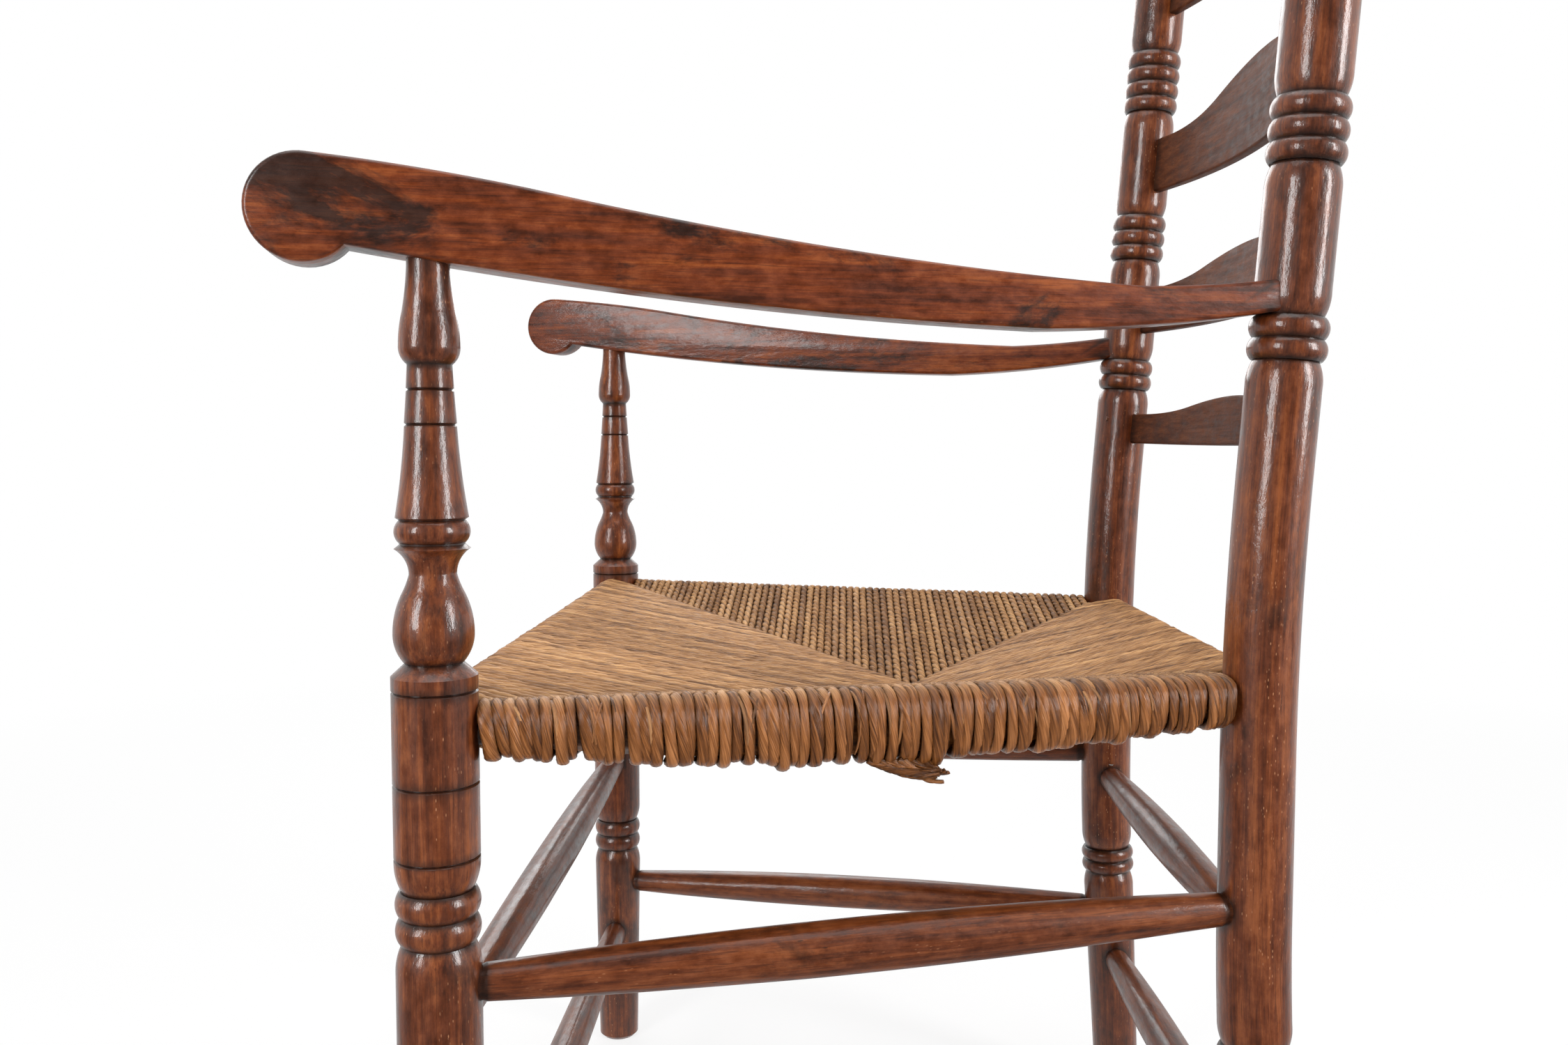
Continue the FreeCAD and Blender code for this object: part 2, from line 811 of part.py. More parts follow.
class Arm:
    """One arm: a shaped board that lies over the front post and runs into the back post."""

    def __init__(self, side_name, side):
        self.name = "arm_" + side_name
        self.side = side
        meets = collar + named("arm_end_rise")
        back = depth + back_axis(meets)
        across = front_half - back_half
        self.meets = meets
        self.run = root(across * across + back * back)
        self.swing = bearing(across, back) * side + 90
        self.tip = self.run + named("arm_end_tenon_past")

    def frame(self, along, aside, height):
        """A placement in the arm's own plane: along it, to one side, and above the collar."""
        base = on_floor(self.side * front_half, 0, collar, turn("Z", self.swing))
        return base + " * " + frame((along, aside, height))

    def board(self):
        """The board with its scrolled nose, before it is fitted to the posts."""
        body = new_body(self.name + "_board")
        radius = named("nose_radius")
        reach = -named("nose_reach")
        rise = named("nose_rise")
        top = named("nose_top_angle")
        notch = -named("notch_angle")
        top_point = (reach + radius * cosine(top), rise + radius * sine(top))
        notch_point = (reach + radius * cosine(notch), rise + radius * sine(notch))
        round_out = radius * (1 - cosine(180 - (top - notch) / 2))
        hollow = named("arm_top_hollow")
        sketch = new_sketch(body, self.name + "_side", "XZ_Plane")
        outline(sketch, [
            (notch_point[0], notch_point[1], named("arm_bottom_hollow")),
            (named("arm_low_reach"), named("arm_bottom_low_rise"), named("arm_end_hollow")),
            (self.run, named("arm_end_bottom_rise"), None),
            (self.run, named("arm_end_top_rise"), -named("arm_end_hollow") / 2),
            (named("arm_top_low_reach"), named("arm_top_low_rise"), -hollow),
            (named("arm_top_high_reach"), named("arm_top_high_rise"), named("arm_nose_crown")),
            (top_point[0], top_point[1], round_out)])
        pad = body.newObject("PartDesign::Pad", self.name + "_board_pad")
        pad.Profile = sketch
        pad.setExpression("Length", named("arm_thickness").text)
        pad.Midplane = True
        document.recompute()
        self.ease(body, pad)
        body.setExpression("Placement", self.frame(0, 0, 0))
        return body

    def ease(self, body, pad):
        """Round the long edges of the board, but not those of its end at the back post."""
        half = named("arm_thickness").number / 2
        near_end = self.run.number - named("arm_edge_radius").number
        names = []
        for index, edge in enumerate(pad.Shape.Edges, start=1):
            box = edge.BoundBox
            flat = box.YLength < named("arm_edge_radius").number
            if flat and abs(box.YMin) > half / 2 and box.XMin < near_end:
                names.append("Edge%d" % index)
        rounding = body.newObject("PartDesign::Fillet", self.name + "_eased")
        rounding.Base = (pad, names)
        rounding.setExpression("Radius", named("arm_edge_radius").text)

    def tenon(self, name, gap):
        """The flat tenon that goes into the back post, or with a gap its mortise."""
        width = named("arm_end_tenon_width") + 2 * gap
        tall = named("arm_end_tenon_depth") + 2 * gap
        start = self.run - named("arm_end_tenon_root")
        return block(name, (self.tip - start, width, tall),
                     self.frame(start, -width / 2, named("arm_end_rise") - tall / 2))

    def make(self, post_tool):
        """The finished arm, and the tool for its mortise in the back post."""
        board = self.board()
        coped = cut(self.name + "_coped", board, post_tool)
        tenon = self.tenon(self.name + "_tenon", size(0))
        whole = gather("Part::MultiFuse", self.name + "_whole", [coped, tenon])
        seat = named("arm_seat_rise")
        neck = cylinder(self.name + "_neck_seat", named("arm_neck_radius") + clearance,
                        named("arm_neck_seat"), self.frame(0, 0, seat - named("arm_neck_seat")))
        hole = cylinder(self.name + "_post_hole", named("arm_tenon_radius") + clearance,
                        named("arm_tenon_length"), self.frame(0, 0, seat))
        seats = gather("Part::MultiFuse", self.name + "_seats", [neck, hole])
        return cut(self.name, whole, seats), self.tenon(self.name + "_mortise", clearance)


# Rush seat

def rush_roll(start, finish, half_width, half_height, hang):
    """The rush wrapped over one rail: an oval roll that hangs lower in its middle."""
    run = finish - start
    ahead = Vector(run.x, run.y, 0).normalize()
    sideways = Vector(ahead.y, -ahead.x, 0)
    sides = int(SIZES["rush_roll_sides"])
    sections = []
    for share, drop in ((0.0, 0.0), (0.25, 0.75), (0.5, 1.0), (0.75, 0.75), (1.0, 0.0)):
        tall = half_height + hang * drop / 2
        centre = start + run * share - Vector(0, 0, hang * drop / 2)
        points = []
        for side in range(sides + 1):
            angle = 2 * math.pi * side / sides
            around = sideways * half_width * math.cos(angle) + Vector(0, 0, tall * math.sin(angle))
            points.append(centre + around)
        points[-1] = points[0]
        sections.append(Part.makePolygon(points))
    return Part.makeLoft(sections, True, True)


def rush_pad(tops, bottoms, middle_top, middle_bottom):
    """The two woven layers between the rails, drawn down to the middle of the seat."""
    faces = []
    count = len(tops)
    for index in range(count):
        after = (index + 1) % count
        faces.append((tops[index], tops[after], middle_top))
        faces.append((bottoms[after], bottoms[index], middle_bottom))
        faces.append((bottoms[index], bottoms[after], tops[after], tops[index]))
    shells = [Part.Face(Part.makePolygon(list(points) + [points[0]])) for points in faces]
    return Part.makeSolid(Part.makeShell(shells))


def make_rush():
    """The woven rush seat, hollowed for its rails and clear of the posts."""
    top = collar.number
    posts = [Vector(front_half.number, 0, 0), Vector(back_half.number, depth.number, 0),
             Vector(-back_half.number, depth.number, 0), Vector(-front_half.number, 0, 0)]
    drops = (SIZES["rush_front_top"], SIZES["rush_back_top"], SIZES["rush_back_top"],
             SIZES["rush_front_top"])
    lows = (SIZES["rush_front_top"] + 2 * SIZES["rush_front_half"],
            SIZES["rush_back_top"] + 2 * SIZES["rush_side_half"],
            SIZES["rush_back_top"] + 2 * SIZES["rush_side_half"],
            SIZES["rush_front_top"] + 2 * SIZES["rush_front_half"])
    tops = [post + Vector(0, 0, top - drop) for post, drop in zip(posts, drops)]
    bottoms = [post + Vector(0, 0, top - low) for post, low in zip(posts, lows)]
    middle_top = Vector(0, SIZES["rush_middle"], top - SIZES["rush_sag"])
    middle_bottom = middle_top - Vector(0, 0, SIZES["rush_pad"])
    solid = rush_pad(tops, bottoms, middle_top, middle_bottom)
    gap = SIZES["post_radius"] + SIZES["rush_corner_gap"]
    names = ("left_seat_rail", "back_seat_rail", "right_seat_rail", "front_seat_rail")
    for index, name in enumerate(names):
        start = tops[index]
        finish = tops[(index + 1) % 4]
        half = SIZES["rush_front_half"] if name.startswith("front") else SIZES["rush_side_half"]
        low = Vector(0, 0, half)
        ahead = (finish - start).normalize() * gap
        solid = solid.fuse(rush_roll(start + ahead - low, finish - ahead - low,
                                     SIZES["rush_half_width"], half, SIZES["rush_hang"]))
    for post in posts:
        solid = solid.cut(Part.makeCylinder(gap, top, post))
    return solid


# Pins

def pegs_of(name, word):
    """The two pegs that lock a slat's tenons, and the tool for their holes."""
    pegs = []
    holes = []
    aside = back_half - named("back_post_radius") + named("slat_tenon") / 2
    up = named(word + "_end") - named("peg_below_edge")
    for side_name, side in SIDES:
        local = frame((side * aside, named("peg_tip"), up), turn("X", 90))
        where = slat_frame(levels[word]) + " * " + local
        title = "%s_peg_%s" % (name, side_name)
        pegs.append(cylinder(title, named("peg_radius"), named("peg_length"), where))
        holes.append(cylinder(title + "_hole", named("peg_radius") + clearance,
                              named("peg_length") * 2, where))
    return pegs, gather("Part::MultiFuse", name + "_peg_holes", holes)


def make_nail():
    """The nail driven down through the right back post into the upper stretcher's tenon."""
    sunk = back_half - named("back_post_radius") + named("nail_sink")
    slope = -(named("nail_slope") + 90)
    where = on_floor(-sunk, depth, collar - named("nail_drop"), turn("Y", slope))
    head_height = named("nail_head_height")
    head_frame = where + " * " + frame((0, 0, -head_height))
    shank = cylinder("nail_shank", named("nail_radius"), named("nail_length"), where)
    head = cylinder("nail_head", named("nail_head_radius"), head_height, head_frame)
    nail = gather("Part::MultiFuse", "stretcher_nail", [shank, head])
    hole = cylinder("nail_hole", named("nail_radius") + clearance, named("nail_length"), where)
    open_frame = where + " * " + frame((0, 0, -named("nail_head_room")))
    room = cylinder("nail_head_hole", named("nail_head_radius") + clearance,
                    named("nail_head_room"), open_frame)
    return nail, gather("Part::MultiFuse", "nail_holes", [hole, room]), hole


# The chair

def build():
    """Make every piece, and return the finished ones by name."""
    parts = {}
    bars, rung_tools = make_rungs()
    parts.update(bars)
    boards = {}
    slat_tools = []
    for name, word in SLATS:
        boards[name], tool = slat(name, word)
        slat_tools.append(tool)
    parts.update(boards)
    pegs = []
    peg_tools = []
    for name, word in (SLATS[0], SLATS[-1]):
        pair, holes = pegs_of(name, word)
        pegs += pair
        peg_tools.append(holes)
        parts[name] = cut(name, boards[name], holes)
    parts["slat_pegs"] = gather("Part::Compound", "slat_pegs", pegs)
    nail, nail_tool, shank_tool = make_nail()
    parts["stretcher_nail"] = nail
    parts["back_upper_stretcher"] = cut("back_upper_stretcher", bars["back_upper_stretcher"],
                                        shank_tool)
    wide = named("front_spread")
    below = named("foot_allowance") * 2
    ground = block("under_floor", (wide * 2, wide * 2, below), frame((-wide, -wide, -below)))
    front_tools = [tool for name, tool in rung_tools.items() if not name.startswith("back")]
    back_tools = [tool for name, tool in rung_tools.items() if not name.startswith("front")]
    for side_name, side in SIDES:
        own = [tool for tool in front_tools if side_name in tool.Name or "front" in tool.Name]
        mortises = gather("Part::MultiFuse", "front_post_%s_mortises" % side_name, own)
        name = "front_post_%s" % side_name
        parts[name] = cut(name, front_post_turning(side_name, side), mortises)
        core = cylinder("arm_%s_cope" % side_name, named("back_post_radius") + clearance,
                        named("seat_depth"),
                        on_floor(side * back_half, depth + back_axis(rake_end), rake_end,
                                 turn("X", -rake)))
        arm, arm_mortise = Arm(side_name, side).make(core)
        parts["arm_" + side_name] = arm
        own = [tool for tool in back_tools if side_name in tool.Name or "back" in tool.Name]
        own += slat_tools + peg_tools + [arm_mortise, ground]
        if side < 0:
            own.append(nail_tool)
        mortises = gather("Part::MultiFuse", "back_post_%s_mortises" % side_name, own)
        name = "back_post_%s" % side_name
        parts[name] = cut(name, back_post_turning(side_name, side), mortises)
    rush = document.addObject("Part::Feature", "rush_weave")
    rush.Shape = make_rush()
    rush.setExpression("Placement", on_floor(0, 0, 0))
    tunnels = []
    for name, start, finish in rung_ends():
        if name.endswith("seat_rail"):
            rung = Rung(name, start, finish, 0)
            tunnels.append(cylinder(name + "_tunnel", named("rail_radius") +
                                    named("rush_rail_gap"), rung.length,
                                    rung.frame(-rung.length / 2)))
    parts["rush_seat"] = cut("rush_seat", rush,
                             gather("Part::MultiFuse", "rush_tunnels", tunnels))
    return parts


def centre_on_chair(parts):
    """Set the sheet's last cell, so that the origin lies under the middle of the chair."""
    boxes = [part.Shape.optimalBoundingBox(False, False) for part in parts.values()]
    middle_now = (min(box.YMin for box in boxes) + max(box.YMax for box in boxes)) / 2
    sheet.set(MIDDLE_CELL, "%.4f" % middle_now)
    document.recompute()


def check(parts):
    """Stop if any object failed or any piece is empty or not a valid solid."""
    for item in document.Objects:
        if "Invalid" in item.State or "Error" in item.State:
            raise SystemExit("%s failed: %s" % (item.Name, item.State))
    for name, part in parts.items():
        shape = part.Shape
        if shape.isNull() or not shape.isValid() or not shape.Solids:
            raise SystemExit("%s has no valid solid" % name)


def write(parts):
    """Write each piece to its own STEP file."""
    os.makedirs("parts", exist_ok=True)
    for name, part in parts.items():
        part.Label = name
        part.Shape.exportStep(os.path.join("parts", name + ".step"))
        print("%-24s %d solid(s) %10.0f mm3" % (name, len(part.Shape.Solids), part.Shape.Volume))


pieces = build()
document.recompute()
centre_on_chair(pieces)
check(pieces)
write(pieces)
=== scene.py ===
"""Dresses the rush-seated ladderback armchair and sets it in a plain white studio."""
import logging
import math
import random
from contextlib import contextmanager
from dataclasses import dataclass, field
from enum import Enum
from typing import Iterator

import bpy
from mathutils import Matrix, Vector, noise


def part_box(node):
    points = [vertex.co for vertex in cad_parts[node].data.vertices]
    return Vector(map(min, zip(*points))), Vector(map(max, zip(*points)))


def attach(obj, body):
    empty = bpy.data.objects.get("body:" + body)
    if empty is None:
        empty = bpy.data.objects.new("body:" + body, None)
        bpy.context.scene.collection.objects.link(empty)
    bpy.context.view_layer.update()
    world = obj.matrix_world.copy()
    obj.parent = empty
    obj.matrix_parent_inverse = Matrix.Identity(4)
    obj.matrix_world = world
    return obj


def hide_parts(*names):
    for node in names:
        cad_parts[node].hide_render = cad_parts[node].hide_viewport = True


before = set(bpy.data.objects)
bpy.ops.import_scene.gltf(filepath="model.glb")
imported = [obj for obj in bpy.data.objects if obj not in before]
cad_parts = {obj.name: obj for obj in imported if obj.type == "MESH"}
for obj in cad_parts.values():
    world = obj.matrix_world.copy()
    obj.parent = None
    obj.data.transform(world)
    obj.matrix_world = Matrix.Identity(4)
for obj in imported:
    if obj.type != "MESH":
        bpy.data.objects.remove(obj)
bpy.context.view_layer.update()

log = logging.getLogger("armchair")
MM = 0.001
AIR_LEVEL = 0.34
ROOM_LEVEL = 0.12
JOINT_DIRT = 0.0028
END_DIRT = 0.004
GROOVE_DEPTH = 1.0
GROOVE_HALF = 0.8
CORD_WIDE = 3.0
CORD_THICK = 2.7
TIGHT_LAY = 24.0
UP = Vector((0.0, 0.0, 1.0))

Colour = tuple[float, float, float]
# A band of painted shade and dirt in a hollow: its height and spread, in millimetres.
ShadeAndDirtBand = tuple[float, float]
Line = tuple[Vector, Vector, float]


class Side(Enum):
    """The sitter's left and right, as the sign of X."""

    LEFT = 1
    RIGHT = -1

    @property
    def word(self) -> str:
        """The side's name as the pieces carry it."""
        return self.name.lower()


@dataclass
class Corner:
    """One corner of a turned or sawn outline, in millimetres.

    The edge that leaves it is straight where the bulge is 0. Otherwise it is an arc that
    stands out by the bulge, to the right of the way to the next corner.
    """

    across: float
    up: float
    bulge: float = 0.0


def raised(corners: tuple[Corner, ...], height: float) -> list[Corner]:
    """A stretch of outline, lifted by a height."""
    return [Corner(corner.across, corner.up + height, corner.bulge) for corner in corners]


def groove(radius: float, height: float) -> list[Corner]:
    """A fine scored line round a post."""
    return [Corner(radius, height - GROOVE_HALF), Corner(radius - GROOVE_DEPTH, height),
            Corner(radius, height + GROOVE_HALF)]


def read_front_line() -> float:
    """Where the front posts' axes stand on Y, in millimetres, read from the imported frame."""
    low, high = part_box("front_post_left")
    return (low[1] + high[1]) / 2 / MM


@dataclass(frozen=True)
class Layout:
    """Driving sizes of the chair in millimetres and degrees, shared by its pieces."""

    collar: float = 440.0
    front_half: float = 286.0
    back_half: float = 183.0
    depth: float = 428.0
    post_radius: float = 20.5
    back_post_radius: float = 20.0
    rake: float = 4.35
    rake_start: float = 380.0
    rake_length: float = 160.0
    kick: float = 3.0
    kick_start: float = 290.0
    kick_length: float = 70.0
    front_line: float = field(default_factory=read_front_line)

    def back_axis(self, height: float) -> tuple[float, float, float]:
        """Find the back post's bent axis at a height along it.

        Args:
            height: Millimetres up the post, measured along its axis.

        Returns:
            How far the axis stands behind its straight middle, its true height, and its
            lean in radians.
        """
        rake = math.radians(self.rake)
        kick = math.radians(self.kick)
        rake_radius = self.rake_length / math.sin(rake)
        kick_radius = self.kick_length / math.sin(kick)
        rake_end = self.rake_start + self.rake_length
        kick_end = self.kick_start - self.kick_length
        if height > rake_end:
            past = height - rake_end
            back = rake_radius * (1 - math.cos(rake)) + past * math.sin(rake)
            return back, rake_end + past * math.cos(rake), rake
        if height > self.rake_start:
            lean = math.asin((height - self.rake_start) / rake_radius)
            return rake_radius * (1 - math.cos(lean)), height, lean
        if height >= self.kick_start:
            return 0.0, height, 0.0
        if height > kick_end:
            lean = math.asin((self.kick_start - height) / kick_radius)
            return kick_radius * (1 - math.cos(lean)), height, -lean
        past = kick_end - height
        back = kick_radius * (1 - math.cos(kick)) + past * math.sin(kick)
        return back, kick_end - past * math.cos(kick), -kick

    def back_post_at(self, height: float) -> float:
        """How far behind the front line the back post's axis stands.

        Args:
            height: Millimetres over the floor.

        Returns:
            The distance in millimetres.
        """
        rake = math.radians(self.rake)
        rake_end = self.rake_start + self.rake_length
        if height > rake_end:
            back, _, _ = self.back_axis(rake_end)
            return self.depth + back + (height - rake_end) * math.tan(rake)
        return self.depth + self.back_axis(height)[0]

    def place(self, across: float, back: float, height: float) -> Vector:
        """A point in metres in the finished chair, from millimetres off the front line."""
        return Vector((across, back + self.front_line, height)) * MM


LAYOUT = Layout()


def arc_steps(start: Corner, finish: Corner, step: float) -> list[tuple[float, float]]:
    """Points from one corner up to, but not at, the next.

    Args:
        start: The corner that the edge leaves, with its bulge.
        finish: The corner that it reaches.
        step: The longest step in millimetres.

    Returns:
        Pairs of across and up in millimetres.
    """
    run = Vector((finish.across - start.across, finish.up - start.up))
    length = run.length
    base = Vector((start.across, start.up))
    if abs(start.bulge) < 1e-6:
        count = max(1, math.ceil(length / step))
        return [tuple(base + run * (index / count)) for index in range(count)]
    right = Vector((run.y, -run.x)) / length
    out = abs(start.bulge)
    radius = (length * length / 4 + out * out) / (2 * out)
    half = 2 * math.atan(2 * out / length)
    side = 1 if start.bulge > 0 else -1
    count = max(6, math.ceil(2 * half * radius / step))
    points = []
    for index in range(count):
        angle = half * (2 * index / count - 1)
        along = run / length * (length / 2 + radius * math.sin(angle))
        away = right * side * (radius * math.cos(angle) - radius * math.cos(half))
        points.append(tuple(base + along + away))
    return points


def deselect() -> None:
    """Leave edit mode with nothing selected."""
    if bpy.context.object and bpy.context.object.mode != "OBJECT":
        bpy.ops.object.mode_set(mode="OBJECT")
    bpy.ops.object.select_all(action="DESELECT")


@contextmanager
def editing() -> Iterator[None]:
    """Work in edit mode on the whole active mesh."""
    bpy.ops.object.mode_set(mode="EDIT")
    bpy.ops.mesh.select_all(action="SELECT")
    yield
    bpy.ops.object.mode_set(mode="OBJECT")


def adopt(name: str, vertices: list, edges: list, faces: list) -> bpy.types.Object:
    """Make an object from drawn points, and leave it as the only one selected.

    Args:
        name: The piece's name.
        vertices: Points in metres.
        edges: Pairs of point numbers.
        faces: Lists of point numbers.

    Returns:
        The new object at the origin.
    """
    deselect()
    mesh = bpy.data.meshes.new(name)
    mesh.from_pydata(vertices, edges, faces)
    piece = bpy.data.objects.new(name, mesh)
    bpy.context.scene.collection.objects.link(piece)
    piece.select_set(True)
    bpy.context.view_layer.objects.active = piece
    return piece


def tidy() -> None:
    """Merge the active piece's doubles and turn every face outwards."""
    with editing():
        bpy.ops.mesh.remove_doubles(threshold=1e-6)
        bpy.ops.mesh.normals_make_consistent(inside=False)


def smooth(piece: bpy.types.Object, angle: float) -> None:
    """Shade the piece smooth, but not across sharp edges.

    Args:
        piece: The piece to shade.
        angle: The sharpest edge that is still shaded smooth, in degrees.
    """
    deselect()
    piece.select_set(True)
    bpy.context.view_layer.objects.active = piece
    bpy.ops.object.shade_smooth_by_angle(angle=math.radians(angle))


def write_values(piece: bpy.types.Object, name: str, values: list) -> None:
    """Store one number, or the three numbers of a vector, for each vertex.

    Args:
        piece: The piece to store them on.
        name: The name that the materials read them by.
        values: All the numbers, one after another.
    """
    vectors = len(values) > len(piece.data.vertices)
    attribute = piece.data.attributes.new(name, "FLOAT_VECTOR" if vectors else "FLOAT", "POINT")
    attribute.data.foreach_set("vector" if vectors else "value", values)


def record_board(piece: bpy.types.Object, shift: Vector, edge: float) -> None:
    """Store a flat board's grain, which runs along X, and its dark ends.

    Args:
        piece: The board, before it is placed.
        shift: Chooses the stretch of timber that the grain is taken from.
        edge: How far along the board a post's face meets it, in metres.
    """
    grain = []
    recess = []
    for vertex in piece.data.vertices:
        grain += list(Vector((vertex.co.y, vertex.co.z, vertex.co.x)) + shift)
        recess.append(math.exp(-((abs(vertex.co.x) - edge) / END_DIRT) ** 2))
    write_values(piece, "grain", grain)
    write_values(piece, "recess", recess)


def ease_edges(piece: bpy.types.Object, width: float, segments: int, angle: float) -> None:
    """Round the active piece's sharp edges.

    Args:
        piece: The active piece.
        width: The width of the rounding in millimetres.
        segments: How many strips it is made of.
        angle: The bluntest edge that is rounded, in degrees.
    """
    bevel = piece.modifiers.new("eased", "BEVEL")
    bevel.width = width * MM
    bevel.segments = segments
    bevel.limit_method = "ANGLE"
    bevel.angle_limit = math.radians(angle)
    bpy.ops.object.modifier_apply(modifier="eased")


def lay_between(piece: bpy.types.Object, start: Vector, finish: Vector) -> None:
    """Lay an upright turned rod, centred on its own middle, between two points."""
    ahead = (finish - start).to_track_quat("Z", "Y").to_matrix().to_4x4()
    piece.data.transform(Matrix.Translation((start + finish) / 2) @ ahead)


def dress(piece: bpy.types.Object, slot: str, material: bpy.types.Material, *nodes: str) -> None:
    """Give a finished piece its material and its body, and hide the CAD nodes that it stands for.

    Args:
        piece: The finished piece.
        slot: The name of a material slot; not used.
        material: The material that it wears.
        nodes: The CAD nodes that it stands for.
    """
    piece.data.materials.clear()
    piece.data.materials.append(material)
    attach(piece, "root")
    if nodes:
        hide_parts(*nodes)
    log.info("%s: %d faces", piece.name, len(piece.data.polygons))


def finish_node(name: str, material: bpy.types.Material) -> None:
    """Give a carried-over CAD node its finish, with its mesh left alone."""
    for slot in bpy.data.objects[name].material_slots:
        slot.material = material


@dataclass(frozen=True)
class Pattern:
    """A noise pattern, and how much slower it changes along the grain than across it."""

    along: float
    scale: float
    detail: float
    roughness: float = 0.55
    distortion: float = 0.0


@dataclass(frozen=True)
class Specks:
    """Small spots in a share of an uneven pattern's cells, drawn out along the grain.

    The scale is in cells to a metre, and the radius is a share of a cell.
    """

    along: float
    scale: float
    radius: float
    share: float


CLOUDS = Pattern(0.3, 26.0, 4.0, 0.65)
STREAKS = Pattern(0.05, 260.0, 4.0, 0.6, 0.3)
MOTTLE = Pattern(0.6, 150.0, 5.0, 0.7)
PORES = Pattern(0.04, 1300.0, 2.0)
PATCHES = Pattern(0.35, 48.0, 2.0)
STAINS = Pattern(0.5, 24.0, 7.0, 0.72, 0.3)
WAVES = Pattern(0.4, 120.0, 2.0)
PEEL = Pattern(0.45, 900.0, 3.0, 0.6)
FLECKS = Specks(0.32, 760.0, 0.24, 0.42)
DASHES = Specks(0.22, 360.0, 0.16, 0.4)
FINE_FIBRE = Pattern(0.03, 1500.0, 3.0, 0.65)
COARSE_FIBRE = Pattern(0.12, 420.0, 3.0, 0.6)
STEEL_SPOTS = Pattern(1.0, 900.0, 3.0)


